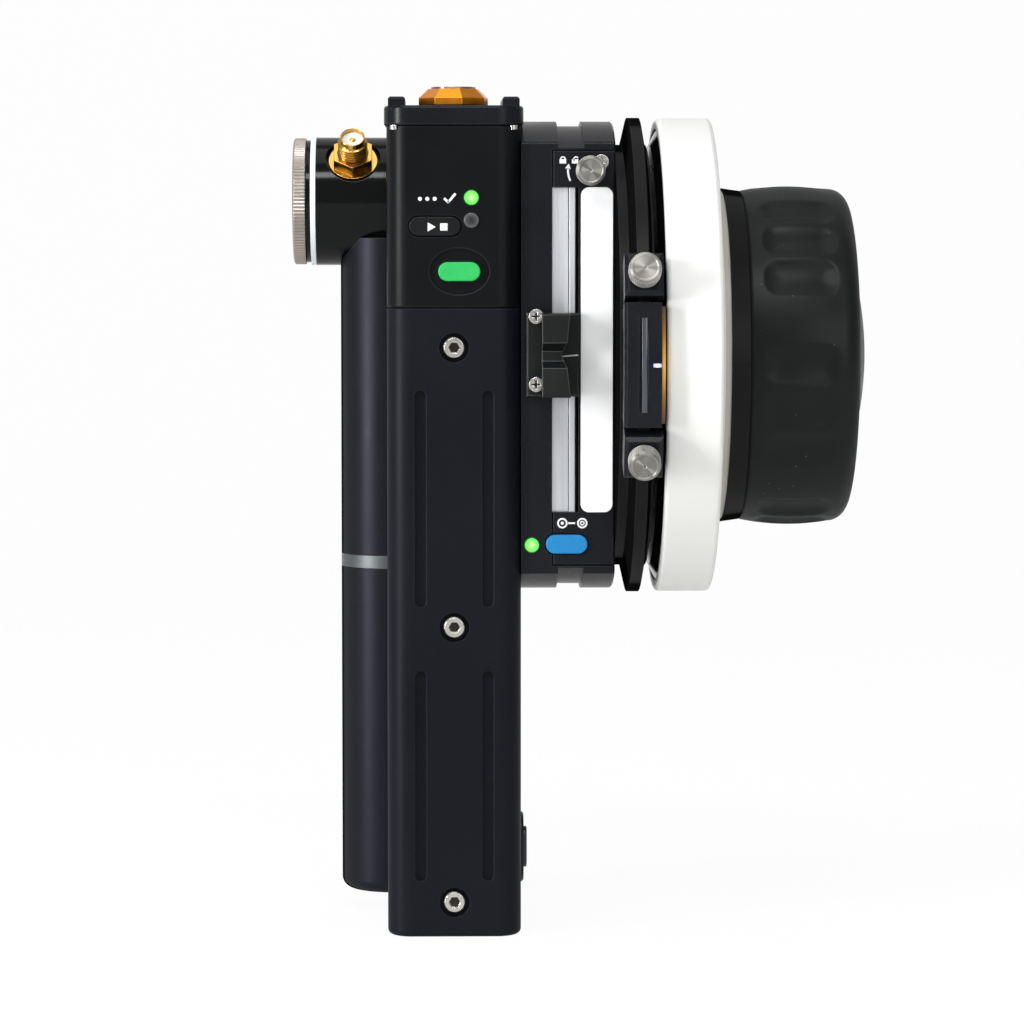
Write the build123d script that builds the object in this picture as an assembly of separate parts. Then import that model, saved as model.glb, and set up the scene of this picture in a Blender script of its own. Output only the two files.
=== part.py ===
from build123d import *
import math
import os

# Shared fits and working values
OVERRUN = 2.0
MATCH = 0.001
RUNNING_FIT = 0.05
SCREW_FIT = 0.05
SEAT_FIT = 0.1
BOARD_FIT = 0.2
SEAM_CHAMFER = 0.3
EDGE_CHAMFER = 0.4

# Grip column: centre of its foot is the origin
GRIP_WIDTH = 27.5
GRIP_DEPTH = 28.0
GRIP_HEIGHT = 129.5
GRIP_CORNER = 5.0
GRIP_WALL = 2.2
HOLLOW_CORNER = 1.6
GRIP_FLOOR = 2.2
GRIP_FRONT_WALL = 3.2
GRIP_FOOT_ROUND = 1.2
COVER_DEPTH = 8.0
GROOVE_OFFSET = 6.9
GROOVE_WIDTH = 2.4
GROOVE_DEPTH = 1.0
GROOVE_SPAN_SHARES = ((0.09, 0.426), (0.527, 0.87))
GRIP_SCREW_SHARES = (0.056, 0.495, 0.9375)
GRIP_SCREW_HEAD = 2.25
GRIP_SCREW_HEAD_HEIGHT = 1.4
GRIP_SCREW_SHANK = 1.25
GRIP_SCREW_LENGTH = 12.0
GRIP_SCREW_SOCKET = 1.25
GRIP_SCREW_SOCKET_DEPTH = 0.9
GRIP_SCREW_POCKET = 3.05
GRIP_SCREW_POCKET_DEPTH = 1.6
GRIP_POST = 3.2

# Control head and its lid
HEAD_HEIGHT = 37.1
HEAD_FRONT_WALL = 2.6
CAP_HEIGHT = 4.0
CAP_OVERHANG = 0.5
CAP_ROUND = 0.7
CAP_LIP_DEPTH = 1.5
CAP_LIP_WALL = 1.2
CAP_DRUM_GAP = 0.3
RAIL_INSET = 0.85
RAIL_WIDTH = 3.5
RAIL_HEIGHT = 1.8
RAIL_END_INSET = 1.6
STUD_RADIUS = 0.9
STUD_INSET = 0.3
STUD_POCKET = 1.2
STUD_HEIGHT = 0.9

# Push buttons and signal lights
BUTTON_LENGTH = 8.6
BUTTON_WIDTH = 3.9
RUN_BUTTON_LENGTH = 10.6
BUTTON_PROUD = 0.8
RUN_BUTTON_PROUD = 0.4
BUTTON_ROUND = 0.3
BUTTON_CLEAR = 0.25
BUTTON_RIM = 0.8
BUTTON_RIM_HEIGHT = 0.8
BUTTON_TRAVEL = 0.6
SWITCH_CLEAR = 0.1
SWITCH_HEIGHT = 1.5
SWITCH_SIZE = 3.4
LIGHT_RADIUS = 1.65
LIGHT_PROUD = 0.45
LIGHT_ROUND = 0.4
LIGHT_POCKET_DEPTH = 1.3
SIGNAL_X = 3.56
READY_RISE = 22.4
RUN_LIGHT_RISE = 17.8
RUN_BUTTON_X = -3.9
RUN_BUTTON_RISE = 16.6
START_BUTTON_X = 1.07
START_BUTTON_RISE = 7.4
DISH_LENGTH = 12.4
DISH_WIDTH = 9.6
DISH_DEPTH = 0.5
SIDE_BUTTON_HEIGHT = 16.7
BEZEL_LENGTH = 14.8
BEZEL_WIDTH = 9.0
BEZEL_HEIGHT = 0.7
SIDE_BUTTON_PROUD = 1.4

# Boards
BOARD_THICK = 1.2
BOARD_SEAT = 0.8
BOARD_FOOT = 10.0
BOARD_TOP_GAP = 6.0
CHIP_HEIGHT = 1.4
CHIP_SIZE = 9.0
CHIP_SHARES = (0.35, 0.6, 0.82)
CONTROL_BOARD_GAP = 2.0

# Turn knob on the lid
ENCODER_SIZE = 12.0
ENCODER_HEIGHT = 5.5
ENCODER_BUSH = 3.0
ENCODER_SHAFT = 1.5
ENCODER_SHAFT_REACH = 3.5
ENCODER_END_GAP = 0.5
TOP_KNOB_RADIUS = 7.35
TOP_KNOB_SIDES = 8
TOP_KNOB_TURN = 13.5
TOP_KNOB_GAP = 0.35
TOP_KNOB_HEIGHT = 3.35
TOP_KNOB_CHAMFER = 1.9
TOP_DISC_RADIUS = 4.6
TOP_DISC_HEIGHT = 0.4

# Focus axis, drum and the bearing stack inside it
AXIS_SETBACK = 24.0
AXIS_DROP = 10.4
FACE_SETBACK = 3.0
DRUM_RADIUS = 48.8
DRUM_WALL = 3.4
DRUM_RIM = 1.6
DRUM_FRONT = 4.0
DRUM_BACK = 3.2
DRUM_FACE_ROUND = 0.8
DRUM_GROOVE_OFFSET = 7.6
DRUM_GROOVE_WIDTH = 5.15
DRUM_GROOVE_DEPTH = 0.95
SIDE_COVER = 2.5
SENSOR_BOARD = 0.8
SENSOR_SIZE = 16.0
MAGNET_GAP = 0.5
MAGNET_LENGTH = 3.2
MAGNET_RADIUS = 6.5
BEARING_CLEAR = 0.25
BEARING_WIDTH = 5.0
BEARING_SHOULDER = 2.0
BEARING_OUTER = 9.5
BEARING_OUTER_WALL = 1.05
BEARING_BALL = 1.15
BALL_GAP = 0.05
BALL_COUNT = 9
SHOULDER_BORE = 8.0
SHAFT_RADIUS = 5.0
BOSS_WALL = 2.5
COVER_SCREW_ANGLES = (20.0, -20.0, -60.0, 95.0, -100.0)
COVER_SCREW_INSET = 5.2
COVER_SCREW_HEAD = 1.9
COVER_SCREW_HEAD_HEIGHT = 1.0
COVER_SCREW_SHANK = 1.0
COVER_SCREW_LENGTH = 7.0
COVER_POST = 2.6

# Slide control on the flat of the drum
SLOT_OFFSET = 6.3
SLOT_WIDTH = 5.4
SLOT_TOP_EDGE = 9.1
SLOT_FOOT_EDGE = 12.5
PLATE_EDGE = 1.45
PLATE_THICK = 2.0
RAIL_BAR_DEPTH = 0.9
RAIL_EDGE_DEPTH = 0.5
RAIL_BAR_WIDTH = 3.3
RAIL_LINE = 0.2
SLIT_WIDTH = 0.65
TONGUE_WIDTH = 0.4
TONGUE_LENGTH = 8.0
TONGUE_REACH = 2.0
STRIP_GAP = 0.5
STRIP_THICK = 0.6
STRIP_PROUD = 0.15
STRIP_CORNER = 1.7
SLIDER_HEIGHT = 17.1
SLIDER_DROP = 0.9
SLIDER_LEFT_GAP = 1.0
SLIDER_RIGHT_LAP = 0.2
SLIDER_LIFT = 0.35
CARRIAGE_THICK = 1.2
SADDLE_LEFT = 4.1
SADDLE_WIDTH = 5.8
SADDLE_HEIGHT = 6.6
SADDLE_DIP = 3.4
SADDLE_ROUND = 0.5
WAIST_DEPTH = 1.85
# Dip and waist of the slider's saddle, from its top to its foot
DIP_SHARES = ((0.0, 0.0), (0.35, 0.12), (0.45, 1.0), (0.57, 1.0), (0.65, 0.4), (1.0, 0.0))
WAIST_SHARES = ((0.0, 0.07), (0.35, 0.37), (0.5, 1.0), (0.64, 0.37), (1.0, 0.0))
SLIDER_SCREW_OFFSET = 3.0
SLIDER_SCREW_SPACING = 13.9
SLIDER_SCREW_HEAD = 1.5
SLIDER_SCREW_HEAD_HEIGHT = 0.7
SLIDER_SCREW_SHANK = 0.8
CROSS_LENGTH = 1.9
CROSS_WIDTH = 0.45
CROSS_DEPTH = 0.4
LOCK_INSET = 5.2
LOCK_EDGE = 5.75
LOCK_HEAD = 3.05
LOCK_HEAD_HEIGHT = 3.6
LOCK_LIFT = 1.9
LOCK_NECK = 1.1
LOCK_COLLAR = 1.8
LOCK_COLLAR_HEIGHT = 0.8
LOCK_DIMPLE = 2.3
LOCK_DIMPLE_DEPTH = 0.15
PANEL_SCREW_INSET = 2.9
PANEL_SCREW_EDGE = 3.95
PANEL_SCREW_HEAD = 1.5
PANEL_SCREW_HEAD_HEIGHT = 0.9
PANEL_SCREW_SHANK = 0.9
PANEL_SCREW_LENGTH = 3.4
LENS_LIGHT_OFFSET = 2.2
LENS_LIGHT_EDGE = 5.75
LENS_BUTTON_OFFSET = 9.35
LENS_BUTTON_EDGE = 5.95
SLIDER_BOARD_LEFT = 3.4
SLIDER_BOARD_WIDTH = 12.0
SLIDER_BOARD_FOOT = 0.2
SLIDER_BOARD_HEAD = 1.05
STANDOFF_RADIUS = 1.2
STANDOFF_EDGE = 1.2
STANDOFF_FOOT_GAP = 12.0
STANDOFF_TOP_GAP = 2.0
POT_WIDTH = 3.0
POT_GAP = 0.2

# Fixed stop ring, end stops and pointer
RING_LENGTH = 7.0
RING_RADIUS = 44.0
RING_RIM = 4.0
RING_WEB = 3.0
RING_BORE = 13.0
FLANGE_HEIGHT = 5.6
FLANGE_BASE_LEFT = 1.9
FLANGE_TIP_LEFT = 3.2
FLANGE_TIP_WIDTH = 2.4
FLANGE_BASE_WIDTH = 4.7
UPPER_STOP_ANGLE = 19.4
LOWER_STOP_ANGLE = 20.7
CLAMP_LEFT = 0.5
CLAMP_RIGHT = 8.2
CLAMP_FOOT_GAP = 0.5
CLAMP_HEIGHT = 3.9
CLAMP_HALF = 4.4
CLAMP_FIT = 0.15
CLAMP_CHAMFER = 0.75
JAW_GAP = 0.4
JAW_RELIEF_GAP = 0.4
THUMB_SHANK = 1.25
THUMB_TIP_GAP = 0.1
THUMB_LIFT = 0.4
THUMB_HEAD = 3.25
THUMB_HEAD_HEIGHT = 3.4
THUMB_KNURL_DEPTH = 0.14
THUMB_KNURL_COUNT = 44
THUMB_CHAMFER = 0.45
THUMB_DIMPLE = 2.5
THUMB_DIMPLE_DEPTH = 0.15
THUMB_CENTRE = 0.35
THUMB_CENTRE_DEPTH = 0.4
INDEX_LEFT = 0.4
INDEX_RIGHT = 7.85
INDEX_HEIGHT = 2.7
INDEX_HALF_ANGLE = 13.7
INDEX_DROP_ANGLE = 0.4
INDEX_CHAMFER = 0.6
WINDOW_OFFSET = 3.3
WINDOW_WIDTH = 1.7
WINDOW_HALF = 9.65
WINDOW_DEPTH = 1.0
MARK_LENGTH = 1.7
MARK_INSET = 0.1
MARK_HALF = 0.35
MARK_DEPTH = 0.6
MARK_PROUD = 0.05
GUIDE_WIDTH = 0.7
GUIDE_FOOT = 1.0
GUIDE_TOP_GAP = 0.7
GUIDE_HALF_ANGLE = 13.0

# Marking disc and focus knob
CARRIER_GAP = 0.8
CARRIER_THICK = 2.4
CARRIER_CHAMFER = 1.7
CARRIER_HUB = 11.0
CARRIER_HUB_REACH = 3.0
STOP_PIN_RADIUS = 0.8
STOP_PIN_INSET = 1.1
STOP_PIN_REACH = 1.2
STOP_PIN_ROOT = 2.2
DISC_STEP = 0.1
DISC_LEFT_GAP = 2.0
DISC_WIDTH = 11.4
DISC_WALL = 2.2
DISC_WEB = 2.0
DISC_ROUND = 0.9
DISC_HUB_RADIUS = 34.4
DISC_HUB_WALL = 5.0
DISC_HUB_LENGTH = 2.6
KNOB_BASE_RADIUS = 34.95
KNOB_BASE_LENGTH = 3.8
KNOB_LENGTH = 22.5
KNOB_START_RADIUS = 34.4
KNOB_CROWN_RADIUS = 35.5
KNOB_CROWN_SHARE = 0.54
KNOB_END_RADIUS = 34.8
KNOB_ROUND = 4.0
KNOB_CORE_RADIUS = 31.0
KNOB_CORE_WALL = 3.0
KNOB_HUB = 9.0
KNOB_FACE = 1.5
DOME_RADIUS = 21.0
DOME_EDGE = 0.5
DOME_RISE = 3.25
DENT_RADIUS = 7.0
DENT_DEPTH = 1.35
DENT_LENGTH = 7.2
DENT_START = 6.95
DENT_PLACE_COUNT = 24
DENT_GROUP_COUNT = 4

# Side barrel and antenna socket
BARREL_RADIUS = 13.6
BARREL_BORE = 10.6
BARREL_GAP = 0.4
BARREL_RISE = 32.3
BARREL_REACH = 20.15
END_RING_LENGTH = 2.7
END_RING_RADIUS = 13.4
END_RING_KNURL_COUNT = 110
END_RING_KNURL_DEPTH = 0.2
END_RING_ROUND = 0.9
END_RING_GAP = 0.15
END_RING_PLUG = 3.5
END_RING_DISH = 9.5
END_RING_DISH_DEPTH = 0.6
BARREL_LIP = 0.95
BARREL_LIP_RADIUS = 13.0
SEAL_LENGTH = 1.1
SEAL_SEAT = 12.2
ANTENNA_OFFSET = 12.8
ANTENNA_ANGLE = 47.5
SOCKET_THREAD = 3.175
SOCKET_NECK = 3.0
SOCKET_FLOOR = 12.0
SOCKET_RECESS = 5.75
SOCKET_TIP = 19.8
SOCKET_BORE = 2.3
SOCKET_BORE_DEPTH = 4.2
SOCKET_CONTACT = 0.65
CONTACT_SINK = 0.6
INSULATOR_SINK = 0.9
WASHER_RADIUS = 5.15
WASHER_THICK = 0.6
NUT_FLATS = 8.0
NUT_SIDES = 6
NUT_THICK = 2.5
NUT_TURN = 90.0
TAIL_FLANGE_RADIUS = 4.5
TAIL_FLANGE_TOP = 9.5
TAIL_FLANGE_THICK = 1.3
RADIO_LENGTH = 16.0
RADIO_WIDTH = 12.0
RADIO_SHIFT = 3.0

# Battery tube
TUBE_RADIUS = 11.0
TUBE_GAP = 0.5
TUBE_INSET = 0.85
TUBE_TOP_LAP = 5.85
CELL_RADIUS = 9.2
CELL_LENGTH = 65.0
CELL_FIT = 0.3
CELL_PLAY = 1.6
CELL_NUB_RADIUS = 2.8
CELL_NUB = 1.2
TUBE_FLOOR = 2.0
TUBE_FOOT_ROUND = 2.4
COUPLING_HEIGHT = 2.7
COUPLING_SHARE = 0.518
COUPLING_SPIGOT = 4.0
COUPLING_WALL = 0.7
COUPLING_GAP = 0.15

# Places worked out from the sizes
FRONT_Y = -GRIP_DEPTH / 2
BACK_Y = GRIP_DEPTH / 2
SPLIT_Y = FRONT_Y + COVER_DEPTH
SIDE_X = GRIP_WIDTH / 2
HEAD_TOP = GRIP_HEIGHT + HEAD_HEIGHT
CAP_TOP = HEAD_TOP + CAP_HEIGHT
BOARD_GAP = BUTTON_RIM_HEIGHT + BUTTON_TRAVEL + SWITCH_CLEAR + SWITCH_HEIGHT
AXIS_Y = FRONT_Y + AXIS_SETBACK
AXIS_Z = GRIP_HEIGHT - AXIS_DROP
FACE_Y = FRONT_Y + FACE_SETBACK
DRUM_LEFT = SIDE_X
MAGNET_LEFT = DRUM_LEFT + SIDE_COVER + SENSOR_BOARD + MAGNET_GAP
BEARING_LEFT = MAGNET_LEFT + MAGNET_LENGTH + BEARING_CLEAR
BEARING_RIGHT = BEARING_LEFT + BEARING_WIDTH + BEARING_SHOULDER
DRUM_RIGHT = BEARING_RIGHT + BEARING_WIDTH
BOSS_RADIUS = BEARING_OUTER + BOSS_WALL
FLAT_REACH = AXIS_SETBACK - FACE_SETBACK
FLAT_HALF = math.sqrt(DRUM_RADIUS**2 - FLAT_REACH**2)
FLAT_TOP = AXIS_Z + FLAT_HALF
FLAT_FOOT = AXIS_Z - FLAT_HALF
PLATE_HALF = FLAT_HALF - PLATE_EDGE
SLOT_LEFT = DRUM_LEFT + SLOT_OFFSET
SLOT_RIGHT = SLOT_LEFT + SLOT_WIDTH
SLOT_TOP = FLAT_TOP - SLOT_TOP_EDGE
SLOT_FOOT = FLAT_FOOT + SLOT_FOOT_EDGE
SLOT_LENGTH = SLOT_TOP - SLOT_FOOT
SLOT_Z = (SLOT_TOP + SLOT_FOOT) / 2
SLIT_LEFT = SLOT_RIGHT - SLIT_WIDTH
SLIT_MIDDLE = (SLIT_LEFT + SLOT_RIGHT) / 2
SLIDER_Z = SLOT_Z - SLIDER_DROP
SLIDER_LEFT = DRUM_LEFT + SLIDER_LEFT_GAP
SLIDER_RIGHT = SLOT_RIGHT + SLIDER_RIGHT_LAP
SLIDER_FRONT = FACE_Y - SLIDER_LIFT - CARRIAGE_THICK
LOCK_X = DRUM_RIGHT - LOCK_INSET
LOCK_Z = FLAT_TOP - LOCK_EDGE
INNER_FACE_Y = FACE_Y + DRUM_FRONT
SLIDER_BOARD_Y = INNER_FACE_Y + BOARD_GAP
LENS_BUTTON_X = DRUM_LEFT + LENS_BUTTON_OFFSET
LENS_BUTTON_Z = FLAT_FOOT + LENS_BUTTON_EDGE
LENS_LIGHT_Z = FLAT_FOOT + LENS_LIGHT_EDGE
SLIDER_BOARD_LOW = LENS_BUTTON_Z - SWITCH_SIZE / 2 - SLIDER_BOARD_FOOT
SLIDER_BOARD_HIGH = SLOT_TOP + SLIDER_BOARD_HEAD
FLANGE_RADIUS = RING_RADIUS + FLANGE_HEIGHT
RING_RIGHT = DRUM_RIGHT + RING_LENGTH
FLANGE_MIDDLE = DRUM_RIGHT + FLANGE_TIP_LEFT + FLANGE_TIP_WIDTH / 2
CLAMP_TOP = FLANGE_RADIUS + CLAMP_HEIGHT
INDEX_TOP = FLANGE_RADIUS + INDEX_HEIGHT
CARRIER_LEFT = RING_RIGHT + CARRIER_GAP
DISC_RADIUS = FLANGE_RADIUS - DISC_STEP
CARRIER_RADIUS = DISC_RADIUS - DISC_WALL
DISC_LEFT = RING_RIGHT + DISC_LEFT_GAP
DISC_RIGHT = DISC_LEFT + DISC_WIDTH
KNOB_BASE_LEFT = DISC_RIGHT + DISC_HUB_LENGTH
KNOB_LEFT = KNOB_BASE_LEFT + KNOB_BASE_LENGTH
KNOB_RIGHT = KNOB_LEFT + KNOB_LENGTH
CORE_RIGHT = KNOB_RIGHT - KNOB_FACE
BARREL_Y = BACK_Y + BARREL_GAP + BARREL_RADIUS
BARREL_Z = AXIS_Z + BARREL_RISE
END_RING_LEFT = -SIDE_X - BARREL_REACH
END_RING_RIGHT = END_RING_LEFT + END_RING_LENGTH
LIP_LEFT = END_RING_RIGHT + END_RING_GAP
SEAL_LEFT = LIP_LEFT + BARREL_LIP
SEAL_RIGHT = SEAL_LEFT + SEAL_LENGTH
ANTENNA_X = END_RING_LEFT + ANTENNA_OFFSET
ANTENNA_WAY = (0, -math.sin(math.radians(ANTENNA_ANGLE)), math.cos(math.radians(ANTENNA_ANGLE)))
TUBE_X = -SIDE_X + TUBE_INSET
TUBE_Y = BACK_Y + TUBE_GAP + TUBE_RADIUS
TUBE_BORE = CELL_RADIUS + CELL_FIT
CELL_TOP = BARREL_Z - BARREL_RADIUS - CELL_PLAY / 2
CELL_MIDDLE = CELL_TOP - CELL_LENGTH
CELL_BOTTOM = CELL_MIDDLE - CELL_LENGTH
TUBE_BOTTOM = CELL_BOTTOM - CELL_PLAY / 2 - TUBE_FLOOR
TUBE_TOP = BARREL_Z - BARREL_RADIUS + TUBE_TOP_LAP
COUPLING_TOP = TUBE_BOTTOM + (TUBE_TOP - TUBE_BOTTOM) * COUPLING_SHARE
COUPLING_BOTTOM = COUPLING_TOP - COUPLING_HEIGHT

FOCUS_AXIS = Axis((0, AXIS_Y, AXIS_Z), (1, 0, 0))
# Profile plane in front of the focus axis: x runs along the axis, y is the radius
PROFILE = Plane(origin=(0, AXIS_Y, AXIS_Z), x_dir=(1, 0, 0), z_dir=(0, 0, -1))
FORWARD = (0, -1, 0)
INWARD = (0, 1, 0)
UP = (0, 0, 1)
RIGHT = (1, 0, 0)
LEFT = (-1, 0, 0)


# Shared shape helpers
def slab(x_low, x_high, y_low, y_high, z_low, z_high):
    """Box between two values on each axis."""
    low = (Align.MIN, Align.MIN, Align.MIN)
    return Pos(x_low, y_low, z_low) * Box(x_high - x_low, y_high - y_low, z_high - z_low, align=low)


def rod(radius, start, way, length):
    """Round bar that starts at a point and runs along a direction."""
    return extrude(Plane(origin=start, z_dir=way) * Circle(radius), amount=length)


def pipe(outer, inner, start, way, length):
    """Round tube that starts at a point and runs along a direction."""
    return extrude(Plane(origin=start, z_dir=way) * (Circle(outer) - Circle(inner)), amount=length)


def axis_rod(radius, x_low, x_high):
    """Round bar on the focus axis."""
    return rod(radius, (x_low, AXIS_Y, AXIS_Z), RIGHT, x_high - x_low)


def axis_pipe(outer, inner, x_low, x_high):
    """Round tube on the focus axis."""
    return pipe(outer, inner, (x_low, AXIS_Y, AXIS_Z), RIGHT, x_high - x_low)


def turned(points):
    """Solid turned about the focus axis from points of axis place and radius."""
    return revolve(PROFILE * make_face(Polyline(*points, close=True)), FOCUS_AXIS)


def sector(face, half_angle):
    """Part turn of a profile, centred on the front of the focus axis."""
    return revolve(face, FOCUS_AXIS, 2 * half_angle).rotate(FOCUS_AXIS, -half_angle)


def raised(shape, angle):
    """Shape carried about the focus axis, up from the front."""
    return shape.rotate(FOCUS_AXIS, -angle)


def front_oval(length, width, x, z, y_start, depth):
    """Lying stadium that runs inward from a front face."""
    place = Plane(origin=(x, y_start, z), x_dir=RIGHT, z_dir=INWARD)
    return extrude(place * SlotOverall(length, width), amount=depth)


def side_oval(length, width, x_start, z, depth):
    """Upright stadium that runs to the left from the right face of the grip."""
    place = Plane(origin=(x_start, 0, z), x_dir=UP, z_dir=LEFT)
    return extrude(place * SlotOverall(length, width), amount=depth)


def knurled(place, radius, depth, count, length):
    """Bar with a toothed outline."""
    points = []
    for index in range(2 * count):
        angle = math.pi * index / count
        reach = radius - depth * (index % 2)
        points.append((reach * math.cos(angle), reach * math.sin(angle)))
    return extrude(place * make_face(Polyline(*points, close=True)), amount=length)


def group(shapes):
    """Separate solids kept side by side in one node."""
    return Compound([solid for shape in shapes for solid in shape.solids()])


def cross_recess(x, y, z):
    """Cross recess cut into a screw head whose top is at y."""
    half_long = CROSS_LENGTH / 2
    half_wide = CROSS_WIDTH / 2
    lying = slab(x - half_long, x + half_long, y - OVERRUN, y + CROSS_DEPTH, z - half_wide, z + half_wide)
    upright = slab(x - half_wide, x + half_wide, y - OVERRUN, y + CROSS_DEPTH, z - half_long, z + half_long)
    return lying + upright


# Grip
def column(z_low, z_high):
    """Outer block of the grip column."""
    outline = RectangleRounded(GRIP_WIDTH, GRIP_DEPTH, GRIP_CORNER)
    return extrude(Plane.XY.offset(z_low) * outline, amount=z_high - z_low)


def hollow_outline(front_wall, inset):
    """Inner outline of the column behind a front wall."""
    width = GRIP_WIDTH - 2 * GRIP_WALL - 2 * inset
    depth = GRIP_DEPTH - front_wall - GRIP_WALL - 2 * inset
    return Pos(0, (front_wall - GRIP_WALL) / 2) * RectangleRounded(width, depth, HOLLOW_CORNER)


def hollow(front_wall, z_low, z_high):
    """Room inside the column."""
    return extrude(Plane.XY.offset(z_low) * hollow_outline(front_wall, 0), amount=z_high - z_low)


def grip_block():
    """Whole grip column with its rounded foot and the seam under the head."""
    block = column(0, GRIP_HEIGHT)
    block = fillet(block.edges().group_by(Axis.Z)[0], GRIP_FOOT_ROUND)
    block = chamfer(block.edges().group_by(Axis.Z)[-1], SEAM_CHAMFER)
    return block - hollow(GRIP_FRONT_WALL, GRIP_FLOOR, GRIP_HEIGHT + OVERRUN)


def grip_screw_heights():
    return [GRIP_HEIGHT * share for share in GRIP_SCREW_SHARES]


def grip_front_cover():
    cover = grip_block() & slab(
        -GRIP_WIDTH, GRIP_WIDTH, -GRIP_DEPTH, SPLIT_Y, -OVERRUN, GRIP_HEIGHT + OVERRUN
    )
    for height in grip_screw_heights():
        start = (0, FRONT_Y - OVERRUN, height)
        cover -= rod(GRIP_SCREW_POCKET, start, INWARD, OVERRUN + GRIP_SCREW_POCKET_DEPTH)
        cover -= rod(GRIP_SCREW_SHANK + SCREW_FIT, start, INWARD, 2 * OVERRUN + GRIP_FRONT_WALL)
    for side in (-1, 1):
        for low, high in GROOVE_SPAN_SHARES:
            middle = GRIP_HEIGHT * (low + high) / 2
            length = GRIP_HEIGHT * (high - low)
            start = (side * GROOVE_OFFSET, FRONT_Y - OVERRUN, middle)
            place = Plane(origin=start, x_dir=UP, z_dir=INWARD)
            cover -= extrude(place * SlotOverall(length, GROOVE_WIDTH), amount=OVERRUN + GROOVE_DEPTH)
    return cover


def grip_rear_shell():
    shell = grip_block() & slab(
        -GRIP_WIDTH, GRIP_WIDTH, SPLIT_Y, GRIP_DEPTH, -OVERRUN, GRIP_HEIGHT + OVERRUN
    )
    post_start = FRONT_Y + GRIP_FRONT_WALL
    post_length = BACK_Y - GRIP_WALL / 2 - post_start
    for height in grip_screw_heights():
        shell += rod(GRIP_POST, (0, post_start, height), INWARD, post_length)
    for height in grip_screw_heights():
        shell -= rod(GRIP_SCREW_SHANK + SCREW_FIT, (0, post_start, height), INWARD, GRIP_SCREW_LENGTH)
    length = BUTTON_LENGTH + 2 * BUTTON_CLEAR
    width = BUTTON_WIDTH + 2 * BUTTON_CLEAR
    shell -= side_oval(length, width, SIDE_X + OVERRUN, SIDE_BUTTON_HEIGHT, OVERRUN + GRIP_WALL + OVERRUN)
    board_right = SIDE_X - GRIP_WALL - BOARD_GAP
    shell -= slab(
        board_right - BOARD_THICK - BOARD_FIT,
        board_right + BOARD_FIT,
        BACK_Y - GRIP_WALL - OVERRUN,
        BACK_Y - GRIP_WALL + BOARD_SEAT,
        BOARD_FOOT - BOARD_FIT,
        GRIP_HEIGHT + OVERRUN,
    )
    return shell


def grip_screws():
    screws = []
    for height in grip_screw_heights():
        seat = FRONT_Y + GRIP_SCREW_POCKET_DEPTH
        top = seat - GRIP_SCREW_HEAD_HEIGHT
        head = rod(GRIP_SCREW_HEAD, (0, seat, height), FORWARD, GRIP_SCREW_HEAD_HEIGHT)
        head = chamfer(head.edges().group_by(Axis.Y)[0], SEAM_CHAMFER)
        shank = rod(GRIP_SCREW_SHANK, (0, seat, height), INWARD, GRIP_SCREW_LENGTH)
        place = Plane(origin=(0, top, height), x_dir=RIGHT, z_dir=INWARD)
        socket = extrude(place * RegularPolygon(GRIP_SCREW_SOCKET, 6), amount=GRIP_SCREW_SOCKET_DEPTH)
        screws.append(head + shank - socket)
    return group(screws)


def main_board():
    right = SIDE_X - GRIP_WALL - BOARD_GAP
    front = FRONT_Y + GRIP_FRONT_WALL + BOARD_FIT
    back = BACK_Y - GRIP_WALL + BOARD_SEAT
    top = GRIP_HEIGHT - BOARD_TOP_GAP
    board = slab(right - BOARD_THICK, right, front, back, BOARD_FOOT, top)
    half = SWITCH_SIZE / 2
    low = SIDE_BUTTON_HEIGHT - half
    board += slab(right, right + SWITCH_HEIGHT, -half, half, low, low + SWITCH_SIZE)
    half_chip = CHIP_SIZE / 2
    for share in CHIP_SHARES:
        middle = BOARD_FOOT + (top - BOARD_FOOT) * share
        chip_foot = middle - half_chip
        board += slab(right, right + CHIP_HEIGHT, -half_chip, half_chip, chip_foot, chip_foot + CHIP_SIZE)
    return board


# Push buttons and lights
def push_button(length, width, x, z, face_y, wall, proud):
    """Button with a rim behind the wall that keeps it in."""
    button = front_oval(length, width, x, z, face_y - proud, proud + wall)
    button = fillet(button.edges().group_by(Axis.Y)[0], BUTTON_ROUND)
    rim = front_oval(length + 2 * BUTTON_RIM, width + 2 * BUTTON_RIM, x, z, face_y + wall, BUTTON_RIM_HEIGHT)
    return button + rim


def button_hole(length, width, x, z, face_y, wall):
    """Hole for a push button through a wall."""
    clear = 2 * BUTTON_CLEAR
    return front_oval(length + clear, width + clear, x, z, face_y - OVERRUN, wall + 2 * OVERRUN)


def signal_light(x, z, face_y):
    """Round light pressed into a blind pocket."""
    light = rod(LIGHT_RADIUS, (x, face_y - LIGHT_PROUD, z), INWARD, LIGHT_PROUD + LIGHT_POCKET_DEPTH)
    return fillet(light.edges().group_by(Axis.Y)[0], LIGHT_ROUND)


def light_pocket(x, z, face_y):
    return rod(LIGHT_RADIUS + SCREW_FIT, (x, face_y - OVERRUN, z), INWARD, OVERRUN + LIGHT_POCKET_DEPTH)


def start_button():
    place_z = GRIP_HEIGHT + START_BUTTON_RISE
    return push_button(
        BUTTON_LENGTH, BUTTON_WIDTH, START_BUTTON_X, place_z, FRONT_Y, HEAD_FRONT_WALL, BUTTON_PROUD
    )


def run_button():
    place_z = GRIP_HEIGHT + RUN_BUTTON_RISE
    return push_button(
        RUN_BUTTON_LENGTH, BUTTON_WIDTH, RUN_BUTTON_X, place_z, FRONT_Y, HEAD_FRONT_WALL, RUN_BUTTON_PROUD
    )


def lens_button():
    return push_button(
        BUTTON_LENGTH, BUTTON_WIDTH, LENS_BUTTON_X, LENS_BUTTON_Z, FACE_Y, DRUM_FRONT, BUTTON_PROUD
    )


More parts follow.
